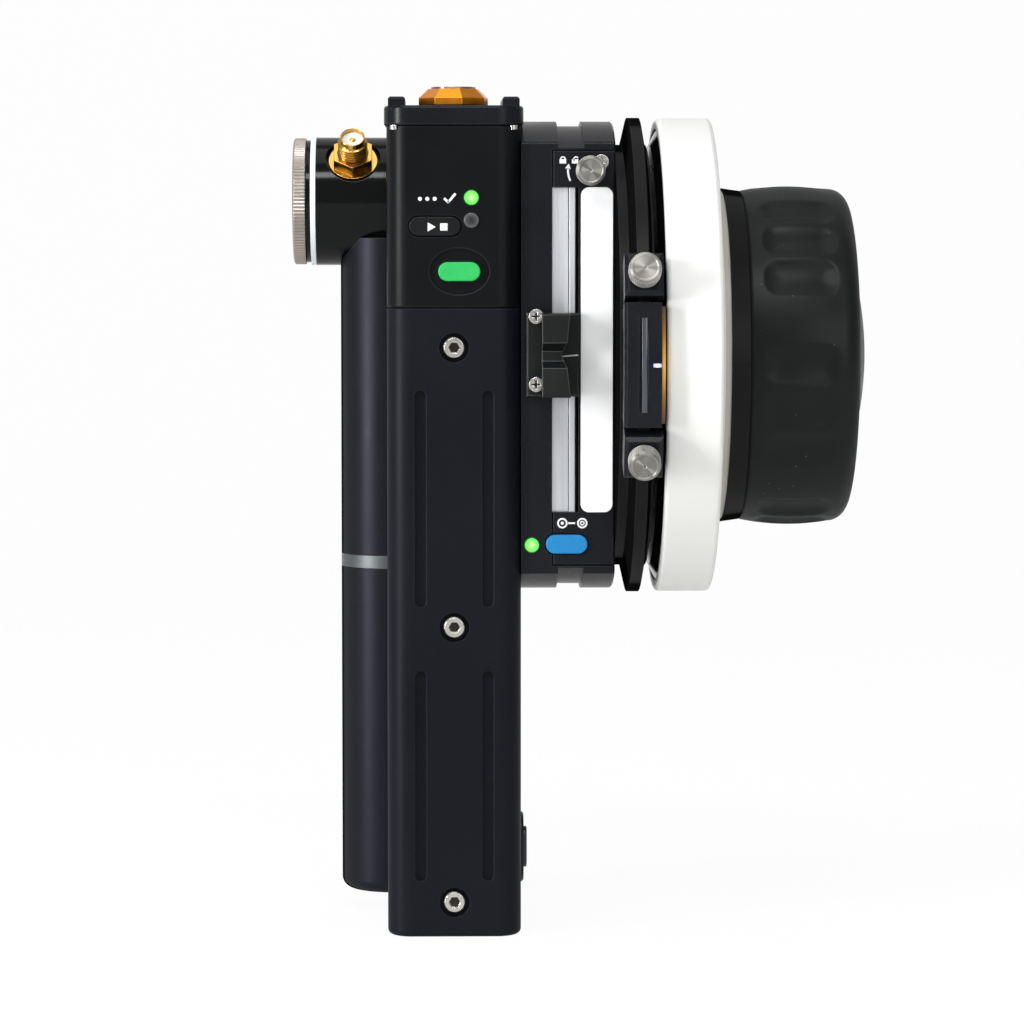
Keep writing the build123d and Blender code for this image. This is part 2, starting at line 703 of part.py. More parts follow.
def side_button():
    depth = SIDE_BUTTON_PROUD + GRIP_WALL
    button = side_oval(BUTTON_LENGTH, BUTTON_WIDTH, SIDE_X + SIDE_BUTTON_PROUD, SIDE_BUTTON_HEIGHT, depth)
    button = fillet(button.edges().group_by(Axis.X)[-1], BUTTON_ROUND)
    rim_length = BUTTON_LENGTH + 2 * BUTTON_RIM
    rim_width = BUTTON_WIDTH + 2 * BUTTON_RIM
    return button + side_oval(
        rim_length, rim_width, SIDE_X - GRIP_WALL, SIDE_BUTTON_HEIGHT, BUTTON_RIM_HEIGHT
    )


def side_button_bezel():
    bezel = side_oval(BEZEL_LENGTH, BEZEL_WIDTH, SIDE_X + BEZEL_HEIGHT, SIDE_BUTTON_HEIGHT, BEZEL_HEIGHT)
    bezel = chamfer(bezel.edges().group_by(Axis.X)[-1], EDGE_CHAMFER)
    length = BUTTON_LENGTH + 2 * BUTTON_CLEAR
    width = BUTTON_WIDTH + 2 * BUTTON_CLEAR
    return bezel - side_oval(length, width, SIDE_X + OVERRUN, SIDE_BUTTON_HEIGHT, 2 * OVERRUN)


def ready_light():
    return signal_light(SIGNAL_X, GRIP_HEIGHT + READY_RISE, FRONT_Y)


def run_light():
    return signal_light(SIGNAL_X, GRIP_HEIGHT + RUN_LIGHT_RISE, FRONT_Y)


def lens_light():
    return signal_light(DRUM_LEFT + LENS_LIGHT_OFFSET, LENS_LIGHT_Z, FACE_Y)


# Control head
def stud_places():
    """Four corner points of the head, a little inside its rounded edge."""
    reach = (GRIP_CORNER - STUD_INSET) * math.sqrt(0.5)
    x = SIDE_X - GRIP_CORNER + reach
    y = BACK_Y - GRIP_CORNER + reach
    return [(x, y), (-x, y), (-x, -y), (x, -y)]


def head_housing():
    head = column(GRIP_HEIGHT, HEAD_TOP)
    head = chamfer(head.edges().group_by(Axis.Z)[0], SEAM_CHAMFER)
    head = chamfer(head.edges().group_by(Axis.Z)[-1], SEAM_CHAMFER)
    head -= hollow(HEAD_FRONT_WALL, GRIP_HEIGHT - OVERRUN, HEAD_TOP + OVERRUN)
    start_z = GRIP_HEIGHT + START_BUTTON_RISE
    run_z = GRIP_HEIGHT + RUN_BUTTON_RISE
    dish = Plane(origin=(START_BUTTON_X, FRONT_Y - OVERRUN, start_z), x_dir=RIGHT, z_dir=INWARD)
    head -= extrude(dish * Ellipse(DISH_LENGTH / 2, DISH_WIDTH / 2), amount=OVERRUN + DISH_DEPTH)
    head -= button_hole(BUTTON_LENGTH, BUTTON_WIDTH, START_BUTTON_X, start_z, FRONT_Y, HEAD_FRONT_WALL)
    head -= button_hole(RUN_BUTTON_LENGTH, BUTTON_WIDTH, RUN_BUTTON_X, run_z, FRONT_Y, HEAD_FRONT_WALL)
    head -= light_pocket(SIGNAL_X, GRIP_HEIGHT + READY_RISE, FRONT_Y)
    head -= light_pocket(SIGNAL_X, GRIP_HEIGHT + RUN_LIGHT_RISE, FRONT_Y)
    for x, y in stud_places():
        head -= rod(STUD_POCKET, (x, y, HEAD_TOP - STUD_HEIGHT), UP, STUD_HEIGHT + OVERRUN)
    return head


def control_board():
    half_width = SIDE_X - GRIP_WALL - BOARD_FIT
    front = FRONT_Y + HEAD_FRONT_WALL + BOARD_GAP
    top = HEAD_TOP - ENCODER_HEIGHT - CONTROL_BOARD_GAP
    board = slab(-half_width, half_width, front, front + BOARD_THICK, GRIP_HEIGHT, top)
    half = SWITCH_SIZE / 2
    switches = ((START_BUTTON_X, START_BUTTON_RISE), (RUN_BUTTON_X, RUN_BUTTON_RISE))
    for x, rise in switches:
        z = GRIP_HEIGHT + rise
        board += slab(x - half, x + half, front - SWITCH_HEIGHT, front, z - half, z + half)
    return board


def top_cap():
    width = GRIP_WIDTH + 2 * CAP_OVERHANG
    depth = GRIP_DEPTH + 2 * CAP_OVERHANG
    outline = RectangleRounded(width, depth, GRIP_CORNER + CAP_OVERHANG)
    cap = extrude(Plane.XY.offset(HEAD_TOP) * outline, amount=CAP_HEIGHT)
    cap = fillet(cap.edges().group_by(Axis.Z)[-1], CAP_ROUND)
    cap = chamfer(cap.edges().group_by(Axis.Z)[0], SEAM_CHAMFER)
    lip = hollow_outline(HEAD_FRONT_WALL, SEAT_FIT) - hollow_outline(HEAD_FRONT_WALL, SEAT_FIT + CAP_LIP_WALL)
    cap += extrude(Plane.XY.offset(HEAD_TOP - CAP_LIP_DEPTH) * lip, amount=CAP_LIP_DEPTH + MATCH)
    outer = width / 2 - RAIL_INSET
    reach = depth / 2 - RAIL_END_INSET
    middle = outer - RAIL_WIDTH / 2
    for side in (-1, 1):
        foot = Pos(side * middle, 0) * Rectangle(RAIL_WIDTH, 2 * reach)
        rail = extrude(Plane.XY.offset(CAP_TOP - CAP_ROUND) * foot, amount=CAP_ROUND + RAIL_HEIGHT)
        rail = chamfer(rail.edges().group_by(Axis.Z)[-1], EDGE_CHAMFER)
        cap += rail
    cap -= axis_rod(DRUM_RADIUS + CAP_DRUM_GAP, DRUM_LEFT - CAP_DRUM_GAP, DRUM_RIGHT)
    return cap - rod(ENCODER_BUSH + SEAT_FIT, (0, 0, HEAD_TOP - OVERRUN), UP, CAP_HEIGHT + 2 * OVERRUN)


def menu_encoder():
    half = ENCODER_SIZE / 2
    body = slab(-half, half, -half, half, HEAD_TOP - ENCODER_HEIGHT, HEAD_TOP)
    body += rod(ENCODER_BUSH, (0, 0, HEAD_TOP), UP, CAP_HEIGHT)
    bore_start = HEAD_TOP - ENCODER_SHAFT_REACH - ENCODER_END_GAP
    bore_length = CAP_TOP + OVERRUN - bore_start
    return body - rod(ENCODER_SHAFT + RUNNING_FIT, (0, 0, bore_start), UP, bore_length)


def top_knob():
    bottom = CAP_TOP + TOP_KNOB_GAP
    outline = RegularPolygon(TOP_KNOB_RADIUS, TOP_KNOB_SIDES, rotation=TOP_KNOB_TURN)
    knob = extrude(Plane.XY.offset(bottom) * outline, amount=TOP_KNOB_HEIGHT)
    knob = chamfer(knob.edges().group_by(Axis.Z)[-1], TOP_KNOB_CHAMFER)
    shaft_foot = HEAD_TOP - ENCODER_SHAFT_REACH
    return knob + rod(ENCODER_SHAFT, (0, 0, shaft_foot), UP, bottom + TOP_KNOB_HEIGHT / 2 - shaft_foot)


def top_knob_disc():
    bottom = CAP_TOP + TOP_KNOB_GAP + TOP_KNOB_HEIGHT
    return rod(TOP_DISC_RADIUS, (0, 0, bottom), UP, TOP_DISC_HEIGHT)


# Drum
def drum_block(radius, face_y, x_low, x_high):
    """Round block with one flat at the front."""
    reach = radius + OVERRUN
    keep = slab(
        x_low - OVERRUN, x_high + OVERRUN, face_y, AXIS_Y + reach, AXIS_Z - reach, AXIS_Z + reach
    )
    return axis_rod(radius, x_low, x_high) & keep


def cover_screw_places():
    """Points of the side cover screws round the focus axis."""
    reach = DRUM_RADIUS - COVER_SCREW_INSET
    places = []
    for angle in COVER_SCREW_ANGLES:
        turn = math.radians(angle)
        places.append((AXIS_Y + reach * math.cos(turn), AXIS_Z + reach * math.sin(turn)))
    return places


def slider_slot(y_low, y_high):
    """Room of the long slot on the drum's flat."""
    half = SLOT_LENGTH / 2
    return slab(SLOT_LEFT, SLOT_RIGHT, y_low, y_high, SLOT_Z - half, SLOT_Z + half)


def slider_slit(y_low, y_high):
    """Narrow gap that the slider's tongue passes through."""
    half = SLOT_LENGTH / 2
    return slab(SLIT_LEFT, SLOT_RIGHT, y_low, y_high, SLOT_Z - half, SLOT_Z + half)


def standoff_places():
    left = DRUM_LEFT + SLIDER_BOARD_LEFT + STANDOFF_EDGE
    right = DRUM_LEFT + SLIDER_BOARD_LEFT + SLIDER_BOARD_WIDTH - STANDOFF_EDGE
    low = SLIDER_BOARD_LOW + STANDOFF_FOOT_GAP
    high = SLIDER_BOARD_HIGH - STANDOFF_TOP_GAP
    return [(left, low), (right, low), (left, high), (right, high)]


def panel_screw_place():
    return (DRUM_RIGHT - PANEL_SCREW_INSET, FLAT_TOP - PANEL_SCREW_EDGE)


def drum_housing():
    drum = drum_block(DRUM_RADIUS, FACE_Y, DRUM_LEFT, DRUM_RIGHT)
    drum = fillet(drum.edges().filter_by(Axis.X), DRUM_FACE_ROUND)
    drum = chamfer(drum.edges().group_by(Axis.X)[-1], EDGE_CHAMFER)
    cover_right = DRUM_LEFT + SIDE_COVER
    inner_right = DRUM_RIGHT - DRUM_BACK
    drum -= drum_block(DRUM_RADIUS - DRUM_WALL, INNER_FACE_Y, DRUM_LEFT - OVERRUN, inner_right)
    drum -= drum_block(DRUM_RADIUS - DRUM_RIM, FACE_Y + DRUM_RIM, DRUM_LEFT - OVERRUN, cover_right)
    groove_left = DRUM_LEFT + DRUM_GROOVE_OFFSET
    groove_right = groove_left + DRUM_GROOVE_WIDTH
    drum -= axis_pipe(DRUM_RADIUS + OVERRUN, DRUM_RADIUS - DRUM_GROOVE_DEPTH, groove_left, groove_right)
    drum += axis_rod(BOSS_RADIUS, BEARING_LEFT, inner_right + DRUM_BACK / 2)
    for y, z in cover_screw_places():
        drum += rod(COVER_POST, (cover_right, y, z), RIGHT, inner_right + DRUM_BACK / 2 - cover_right)
    for x, z in standoff_places():
        start = (x, INNER_FACE_Y - DRUM_FRONT / 4, z)
        drum += rod(STANDOFF_RADIUS, start, INWARD, BOARD_GAP + DRUM_FRONT / 4)
    drum -= axis_rod(BEARING_OUTER, BEARING_LEFT - OVERRUN, BEARING_LEFT + BEARING_WIDTH)
    drum -= axis_rod(SHOULDER_BORE, BEARING_LEFT, DRUM_RIGHT + OVERRUN)
    drum -= axis_rod(BEARING_OUTER, BEARING_RIGHT, DRUM_RIGHT + OVERRUN)
    for y, z in cover_screw_places():
        drum -= rod(COVER_SCREW_SHANK + SCREW_FIT, (cover_right, y, z), RIGHT, COVER_SCREW_LENGTH)
    drum -= slab(
        SLOT_LEFT,
        DRUM_RIGHT + OVERRUN,
        FACE_Y - OVERRUN,
        FACE_Y + PLATE_THICK,
        AXIS_Z - PLATE_HALF,
        AXIS_Z + PLATE_HALF,
    )
    drum -= slider_slit(FACE_Y, INNER_FACE_Y + OVERRUN)
    drum -= button_hole(BUTTON_LENGTH, BUTTON_WIDTH, LENS_BUTTON_X, LENS_BUTTON_Z, FACE_Y, DRUM_FRONT)
    drum -= light_pocket(DRUM_LEFT + LENS_LIGHT_OFFSET, LENS_LIGHT_Z, FACE_Y)
    lock_start = (LOCK_X, FACE_Y - OVERRUN, LOCK_Z)
    drum -= rod(LOCK_NECK + RUNNING_FIT, lock_start, INWARD, DRUM_FRONT + 2 * OVERRUN)
    screw_x, screw_z = panel_screw_place()
    screw_start = (screw_x, FACE_Y, screw_z)
    return drum - rod(PANEL_SCREW_SHANK + SCREW_FIT, screw_start, INWARD, PANEL_SCREW_LENGTH)


def drum_side_cover():
    radius = DRUM_RADIUS - DRUM_RIM - SEAT_FIT
    cover = drum_block(radius, FACE_Y + DRUM_RIM + SEAT_FIT, DRUM_LEFT, DRUM_LEFT + SIDE_COVER)
    for y, z in cover_screw_places():
        cover -= rod(COVER_SCREW_HEAD + SEAT_FIT, (DRUM_LEFT, y, z), RIGHT, COVER_SCREW_HEAD_HEIGHT)
        cover -= rod(COVER_SCREW_SHANK + SCREW_FIT, (DRUM_LEFT, y, z), RIGHT, SIDE_COVER)
    return cover


def case_screws():
    """Lid studs, side cover screws and the panel screw."""
    screws = []
    for x, y in stud_places():
        screws.append(rod(STUD_RADIUS, (x, y, HEAD_TOP - STUD_HEIGHT), UP, STUD_HEIGHT))
    for y, z in cover_screw_places():
        left = DRUM_LEFT + SEAM_CHAMFER
        seat = DRUM_LEFT + COVER_SCREW_HEAD_HEIGHT
        head = rod(COVER_SCREW_HEAD, (left, y, z), RIGHT, seat - left)
        screws.append(head + rod(COVER_SCREW_SHANK, (seat, y, z), RIGHT, COVER_SCREW_LENGTH))
    screw_x, screw_z = panel_screw_place()
    top = FACE_Y - PANEL_SCREW_HEAD_HEIGHT
    head = rod(PANEL_SCREW_HEAD, (screw_x, top, screw_z), INWARD, PANEL_SCREW_HEAD_HEIGHT)
    screw = head + rod(PANEL_SCREW_SHANK, (screw_x, FACE_Y, screw_z), INWARD, PANEL_SCREW_LENGTH)
    screws.append(screw - cross_recess(screw_x, top, screw_z))
    return group(screws)


def sensor_board():
    left = DRUM_LEFT + SIDE_COVER
    half = SENSOR_SIZE / 2
    return slab(left, left + SENSOR_BOARD, AXIS_Y - half, AXIS_Y + half, AXIS_Z - half, AXIS_Z + half)


# Slide control
def marking_strip_block(y_low, y_high):
    """Rounded long plate beside the slot."""
    left = SLOT_RIGHT + STRIP_GAP
    right = DRUM_RIGHT - STRIP_GAP
    place = Plane(origin=((left + right) / 2, y_low, SLOT_Z), x_dir=RIGHT, z_dir=INWARD)
    return extrude(place * RectangleRounded(right - left, SLOT_LENGTH, STRIP_CORNER), amount=y_high - y_low)


def marking_strip():
    return marking_strip_block(FACE_Y - STRIP_PROUD, FACE_Y - STRIP_PROUD + STRIP_THICK)


def slider_plate():
    low = AXIS_Z - PLATE_HALF + SEAT_FIT
    high = AXIS_Z + PLATE_HALF - SEAT_FIT
    plate = slab(SLOT_LEFT + SEAT_FIT, DRUM_RIGHT, FACE_Y, FACE_Y + PLATE_THICK, low, high)
    plate = chamfer(plate.edges().group_by(Axis.Y)[0], SEAM_CHAMFER)
    plate -= slider_slot(FACE_Y - OVERRUN, FACE_Y + PLATE_THICK + OVERRUN)
    plate -= marking_strip_block(FACE_Y - OVERRUN, FACE_Y - STRIP_PROUD + STRIP_THICK)
    plate -= button_hole(BUTTON_LENGTH, BUTTON_WIDTH, LENS_BUTTON_X, LENS_BUTTON_Z, FACE_Y, DRUM_FRONT)
    through = PLATE_THICK + 2 * OVERRUN
    plate -= rod(LOCK_NECK + RUNNING_FIT, (LOCK_X, FACE_Y - OVERRUN, LOCK_Z), INWARD, through)
    screw_x, screw_z = panel_screw_place()
    screw_start = (screw_x, FACE_Y - OVERRUN, screw_z)
    return plate - rod(PANEL_SCREW_SHANK + SCREW_FIT, screw_start, INWARD, through)


def slider_rail():
    half = SLOT_LENGTH / 2
    back = FACE_Y + PLATE_THICK
    wide_front = FACE_Y + RAIL_BAR_DEPTH
    edge_front = FACE_Y + RAIL_EDGE_DEPTH
    wide_right = SLOT_LEFT + RAIL_BAR_WIDTH
    edge_left = wide_right + RAIL_LINE
    wide = slab(SLOT_LEFT, wide_right, wide_front, back, SLOT_Z - half, SLOT_Z + half)
    edge = slab(edge_left, SLIT_LEFT, edge_front, back, SLOT_Z - half, SLOT_Z + half)
    return group([wide, edge])


def slider_board():
    left = DRUM_LEFT + SLIDER_BOARD_LEFT
    right = left + SLIDER_BOARD_WIDTH
    front = SLIDER_BOARD_Y
    board = slab(left, right, front, front + BOARD_THICK, SLIDER_BOARD_LOW, SLIDER_BOARD_HIGH)
    half = SWITCH_SIZE / 2
    board += slab(
        LENS_BUTTON_X - half,
        LENS_BUTTON_X + half,
        front - SWITCH_HEIGHT,
        front,
        LENS_BUTTON_Z - half,
        LENS_BUTTON_Z + half,
    )
    half_slot = SLOT_LENGTH / 2
    half_pot = POT_WIDTH / 2
    board += slab(
        SLIT_MIDDLE - half_pot,
        SLIT_MIDDLE + half_pot,
        INNER_FACE_Y + POT_GAP,
        front,
        SLOT_Z - half_slot,
        SLOT_Z + half_slot,
    )
    return board - slider_slit(INNER_FACE_Y, front - POT_GAP)


def slider_carriage():
    half = SLIDER_HEIGHT / 2
    back = FACE_Y - SLIDER_LIFT
    plate = slab(SLIDER_LEFT, SLIDER_RIGHT, SLIDER_FRONT, back, SLIDER_Z - half, SLIDER_Z + half)
    plate = chamfer(plate.edges().group_by(Axis.Y)[0], SEAM_CHAMFER)
    for z in slider_screw_heights():
        start = (SLIDER_LEFT + SLIDER_SCREW_OFFSET - SLIDER_LEFT_GAP, SLIDER_FRONT - OVERRUN, z)
        plate -= rod(SLIDER_SCREW_SHANK + SCREW_FIT, start, INWARD, CARRIAGE_THICK + 2 * OVERRUN)
    half_tongue = TONGUE_LENGTH / 2
    tongue_left = SLIT_MIDDLE - TONGUE_WIDTH / 2
    tongue = slab(
        tongue_left,
        tongue_left + TONGUE_WIDTH,
        FACE_Y - SLIDER_LIFT,
        INNER_FACE_Y + TONGUE_REACH,
        SLOT_Z - half_tongue,
        SLOT_Z + half_tongue,
    )
    return plate + tongue


def slider_screw_heights():
    half = SLIDER_SCREW_SPACING / 2
    return [SLOT_Z - half, SLOT_Z + half]


def slider_screws():
    screws = []
    for z in slider_screw_heights():
        x = SLIDER_LEFT + SLIDER_SCREW_OFFSET - SLIDER_LEFT_GAP
        top = SLIDER_FRONT - SLIDER_SCREW_HEAD_HEIGHT
        head = rod(SLIDER_SCREW_HEAD, (x, top, z), INWARD, SLIDER_SCREW_HEAD_HEIGHT)
        shank = rod(SLIDER_SCREW_SHANK, (x, SLIDER_FRONT, z), INWARD, CARRIAGE_THICK)
        screws.append(head + shank - cross_recess(x, top, z))
    return group(screws)


def slider_knob():
    """Thumb saddle with a dip across its front and a waist on its right side."""
    left = DRUM_LEFT + SADDLE_LEFT
    right = left + SADDLE_WIDTH
    high = SLIDER_Z + SLIDER_HEIGHT / 2
    low = high - SLIDER_HEIGHT
    front = SLIDER_FRONT - SADDLE_HEIGHT
    side = [(SLIDER_FRONT, high)]
    for along, dip in DIP_SHARES:
        side.append((front + SADDLE_DIP * dip, high - SLIDER_HEIGHT * along))
    side.append((SLIDER_FRONT, low))
    side_place = Plane(origin=(left, 0, 0), x_dir=INWARD, z_dir=RIGHT)
    knob = extrude(side_place * make_face(Polyline(*side, close=True)), amount=SADDLE_WIDTH)
    knob = fillet(knob.edges().filter_by(Axis.X).group_by(Axis.Y)[0], SADDLE_ROUND)
    plan = [(left - OVERRUN, low - OVERRUN), (left - OVERRUN, high + OVERRUN), (right, high + OVERRUN)]
    for along, inset in WAIST_SHARES:
        plan.append((right - WAIST_DEPTH * inset, high - SLIDER_HEIGHT * along))
    plan.append((right, low - OVERRUN))
    plan_place = Plane(origin=(0, SLIDER_FRONT + OVERRUN, 0), x_dir=RIGHT, z_dir=FORWARD)
    knob &= extrude(plan_place * make_face(Polyline(*plan, close=True)), amount=SADDLE_HEIGHT + 2 * OVERRUN)
    pocket = OVERRUN + SLIDER_SCREW_HEAD_HEIGHT + SEAT_FIT
    for z in slider_screw_heights():
        start = (SLIDER_LEFT + SLIDER_SCREW_OFFSET - SLIDER_LEFT_GAP, SLIDER_FRONT + OVERRUN, z)
        knob -= rod(SLIDER_SCREW_HEAD + SEAT_FIT, start, FORWARD, pocket)
    return knob


def thumb_head(radius, back, length):
    """Finely knurled head that runs forward to a chamfered face."""
    teeth_place = Plane(origin=back, x_dir=RIGHT, z_dir=FORWARD)
    count = THUMB_KNURL_COUNT
    teeth = knurled(teeth_place, radius, THUMB_KNURL_DEPTH, count, length + OVERRUN)
    blank_back = (back[0], back[1] + OVERRUN, back[2])
    blank = rod(radius + THUMB_KNURL_DEPTH, blank_back, FORWARD, length + OVERRUN)
    return teeth & chamfer(blank.edges().sort_by(Axis.Y)[0], THUMB_CHAMFER + THUMB_KNURL_DEPTH)


def lock_knob():
    head_back = FACE_Y - LOCK_LIFT
    head_front = head_back - LOCK_HEAD_HEIGHT
    knob = thumb_head(LOCK_HEAD, (LOCK_X, head_back, LOCK_Z), LOCK_HEAD_HEIGHT)
    knob -= rod(LOCK_DIMPLE, (LOCK_X, head_front, LOCK_Z), INWARD, LOCK_DIMPLE_DEPTH)
    knob -= rod(THUMB_CENTRE, (LOCK_X, head_front, LOCK_Z), INWARD, THUMB_CENTRE_DEPTH)
    neck_start = (LOCK_X, head_back - LOCK_HEAD_HEIGHT / 2, LOCK_Z)
    neck_length = LOCK_HEAD_HEIGHT / 2 + LOCK_LIFT + DRUM_FRONT + RUNNING_FIT
    knob += rod(LOCK_NECK, neck_start, INWARD, neck_length + LOCK_COLLAR_HEIGHT)
    collar_start = (LOCK_X, INNER_FACE_Y + RUNNING_FIT, LOCK_Z)
    return knob + rod(LOCK_COLLAR, collar_start, INWARD, LOCK_COLLAR_HEIGHT)


# Stop ring, end stops and pointer
def flange_outline(grow):
    """Section of the flange, grown by a gap on its sides and tip."""
    left = DRUM_RIGHT + FLANGE_BASE_LEFT - grow
    right = DRUM_RIGHT + FLANGE_BASE_LEFT + FLANGE_BASE_WIDTH + grow
    tip_left = DRUM_RIGHT + FLANGE_TIP_LEFT - grow
    tip_right = DRUM_RIGHT + FLANGE_TIP_LEFT + FLANGE_TIP_WIDTH + grow
    tip = FLANGE_RADIUS + grow
    return ((left, RING_RADIUS), (tip_left, tip), (tip_right, tip), (right, RING_RADIUS))


def stop_ring():
    base_left, tip_left, tip_right, base_right = flange_outline(0)
    web_right = DRUM_RIGHT + RING_WEB
    rim = RING_RADIUS - RING_RIM
    return turned(
        [
            (DRUM_RIGHT, RING_BORE),
            (DRUM_RIGHT, RING_RADIUS),
            base_left,
            tip_left,
            tip_right,
            base_right,
            (RING_RIGHT, RING_RADIUS),
            (RING_RIGHT, rim),
            (web_right, rim),
            (web_right, RING_BORE),
        ]
    )


def stop_clamp(angle):
    """Block that rides on the flange, with a hole for its thumbscrew."""
    left = DRUM_RIGHT + CLAMP_LEFT
    right = DRUM_RIGHT + CLAMP_RIGHT
    foot = RING_RADIUS + CLAMP_FOOT_GAP
    block = slab(
        left, right, AXIS_Y - CLAMP_TOP, AXIS_Y - foot, AXIS_Z - CLAMP_HALF, AXIS_Z + CLAMP_HALF
    )
    block = chamfer(block.edges().group_by(Axis.Y)[0], CLAMP_CHAMFER)
    low_left, tip_left, tip_right, low_right = flange_outline(CLAMP_FIT)
    base = RING_RADIUS - RING_RIM
    block -= turned([(low_left[0], base), low_left, tip_left, tip_right, low_right, (low_right[0], base)])
    block -= axis_rod(foot, left - OVERRUN, right + OVERRUN)
    relief_left = CARRIER_LEFT - JAW_GAP
    block -= axis_rod(DISC_RADIUS + JAW_RELIEF_GAP, relief_left, right + OVERRUN)
    hole_start = (FLANGE_MIDDLE, AXIS_Y - FLANGE_RADIUS + OVERRUN, AXIS_Z)
    block -= rod(THUMB_SHANK + RUNNING_FIT, hole_start, FORWARD, CLAMP_HEIGHT + 2 * OVERRUN)
    return raised(block, angle)


def thumbscrew(angle):
    """Knurled screw that points at the focus axis."""
    tip = FLANGE_RADIUS + THUMB_TIP_GAP
    seat = CLAMP_TOP + THUMB_LIFT
    head = thumb_head(THUMB_HEAD, (FLANGE_MIDDLE, AXIS_Y - seat, AXIS_Z), THUMB_HEAD_HEIGHT)
    head_front = (FLANGE_MIDDLE, AXIS_Y - seat - THUMB_HEAD_HEIGHT, AXIS_Z)
    head -= rod(THUMB_DIMPLE, head_front, INWARD, THUMB_DIMPLE_DEPTH)
    head -= rod(THUMB_CENTRE, head_front, INWARD, THUMB_CENTRE_DEPTH)
    shank_start = (FLANGE_MIDDLE, AXIS_Y - tip, AXIS_Z)
    screw = head + rod(THUMB_SHANK, shank_start, FORWARD, seat + THUMB_HEAD_HEIGHT / 2 - tip)
    return raised(screw, angle)


def index_profile():
    """Section of the pointer over the flange."""
    left = DRUM_RIGHT + INDEX_LEFT
    right = DRUM_RIGHT + INDEX_RIGHT
    foot_right = RING_RIGHT + CARRIER_GAP / 4
    top = INDEX_TOP
    outer = Polyline(
        (left, RING_RADIUS),
        (left, top - INDEX_CHAMFER),
        (left + INDEX_CHAMFER, top),
        (right, top),
        (right, FLANGE_RADIUS - GUIDE_FOOT),
        (foot_right, FLANGE_RADIUS - GUIDE_FOOT),
        (foot_right, RING_RADIUS),
        close=True,
    )
    inner = Polyline(*flange_outline(0), close=True)
    return PROFILE * (make_face(outer) - make_face(inner))


def index_block():
    block = sector(index_profile(), INDEX_HALF_ANGLE)
    front = AXIS_Y - INDEX_TOP
    left = DRUM_RIGHT + WINDOW_OFFSET
    back = front + WINDOW_DEPTH
    low = AXIS_Z - WINDOW_HALF
    high = AXIS_Z + WINDOW_HALF
    block -= slab(left, left + WINDOW_WIDTH, front - OVERRUN, back, low, high)
    return raised(block - index_mark(OVERRUN), -INDEX_DROP_ANGLE)


def index_mark(proud):
    """Small bar let into the front of the pointer."""
    right = DRUM_RIGHT + INDEX_RIGHT - MARK_INSET
    front = AXIS_Y - INDEX_TOP
    return slab(
        right - MARK_LENGTH, right, front - proud, front + MARK_DEPTH, AXIS_Z - MARK_HALF, AXIS_Z + MARK_HALF
    )


def index_mark_light():
    return raised(index_mark(MARK_PROUD), -INDEX_DROP_ANGLE)


def index_light_guide():
    left = DRUM_RIGHT + INDEX_RIGHT
    right = left + GUIDE_WIDTH
    foot = FLANGE_RADIUS - GUIDE_FOOT
    top = INDEX_TOP - GUIDE_TOP_GAP
    outline = Polyline((left, foot), (left, top), (right, top), (right, foot), close=True)
    return raised(sector(PROFILE * make_face(outline), GUIDE_HALF_ANGLE), -INDEX_DROP_ANGLE)


# Focus shaft, disc and knob
def bearing_starts():
    return (BEARING_LEFT, BEARING_RIGHT)


def ball_circle():
    return BEARING_OUTER - BEARING_OUTER_WALL - BALL_GAP - BEARING_BALL


def bearing_outer_races():
    """Outer races and the balls of both bearings."""
    pieces = []
    for left in bearing_starts():
        inner = BEARING_OUTER - BEARING_OUTER_WALL
        pieces.append(axis_pipe(BEARING_OUTER, inner, left, left + BEARING_WIDTH))
        for index in range(BALL_COUNT):
            turn = 2 * math.pi * index / BALL_COUNT
            y = AXIS_Y + ball_circle() * math.cos(turn)
            z = AXIS_Z + ball_circle() * math.sin(turn)
            pieces.append(Pos(left + BEARING_WIDTH / 2, y, z) * Sphere(BEARING_BALL))
    return group(pieces)


def bearing_inner_races():
    outer = ball_circle() - BEARING_BALL - BALL_GAP
    races = [axis_pipe(outer, SHAFT_RADIUS, left, left + BEARING_WIDTH) for left in bearing_starts()]
    return group(races)


def focus_shaft():
    return axis_rod(SHAFT_RADIUS, MAGNET_LEFT + MAGNET_LENGTH / 2, CORE_RIGHT)


def encoder_magnet():
    cup = axis_rod(MAGNET_RADIUS, MAGNET_LEFT, MAGNET_LEFT + MAGNET_LENGTH)
    return cup - axis_rod(SHAFT_RADIUS, MAGNET_LEFT + MAGNET_LENGTH / 2, MAGNET_LEFT + 2 * MAGNET_LENGTH)


def disc_carrier():
    right = CARRIER_LEFT + CARRIER_THICK
    hub_left = CARRIER_LEFT - CARRIER_HUB_REACH
    hub_right = DISC_RIGHT - DISC_WEB
    carrier = turned(
        [
            (hub_left, SHAFT_RADIUS),
            (hub_left, CARRIER_HUB),
            (CARRIER_LEFT, CARRIER_HUB),
            (CARRIER_LEFT, CARRIER_RADIUS - 2 * CARRIER_CHAMFER),
            (CARRIER_LEFT + CARRIER_CHAMFER, CARRIER_RADIUS),
            (right, CARRIER_RADIUS),
            (right, CARRIER_HUB),
            (hub_right, CARRIER_HUB),
            (hub_right, SHAFT_RADIUS),
        ]
    )
    return carrier - stop_pin()


def stop_pin():
    """Pin at the back of the carrier, on the far side from the pointer."""
    left = CARRIER_LEFT - STOP_PIN_REACH
    y = AXIS_Y + CARRIER_RADIUS - STOP_PIN_INSET
    length = STOP_PIN_REACH + STOP_PIN_ROOT
    return rod(STOP_PIN_RADIUS, (left, y, AXIS_Z), RIGHT, length)


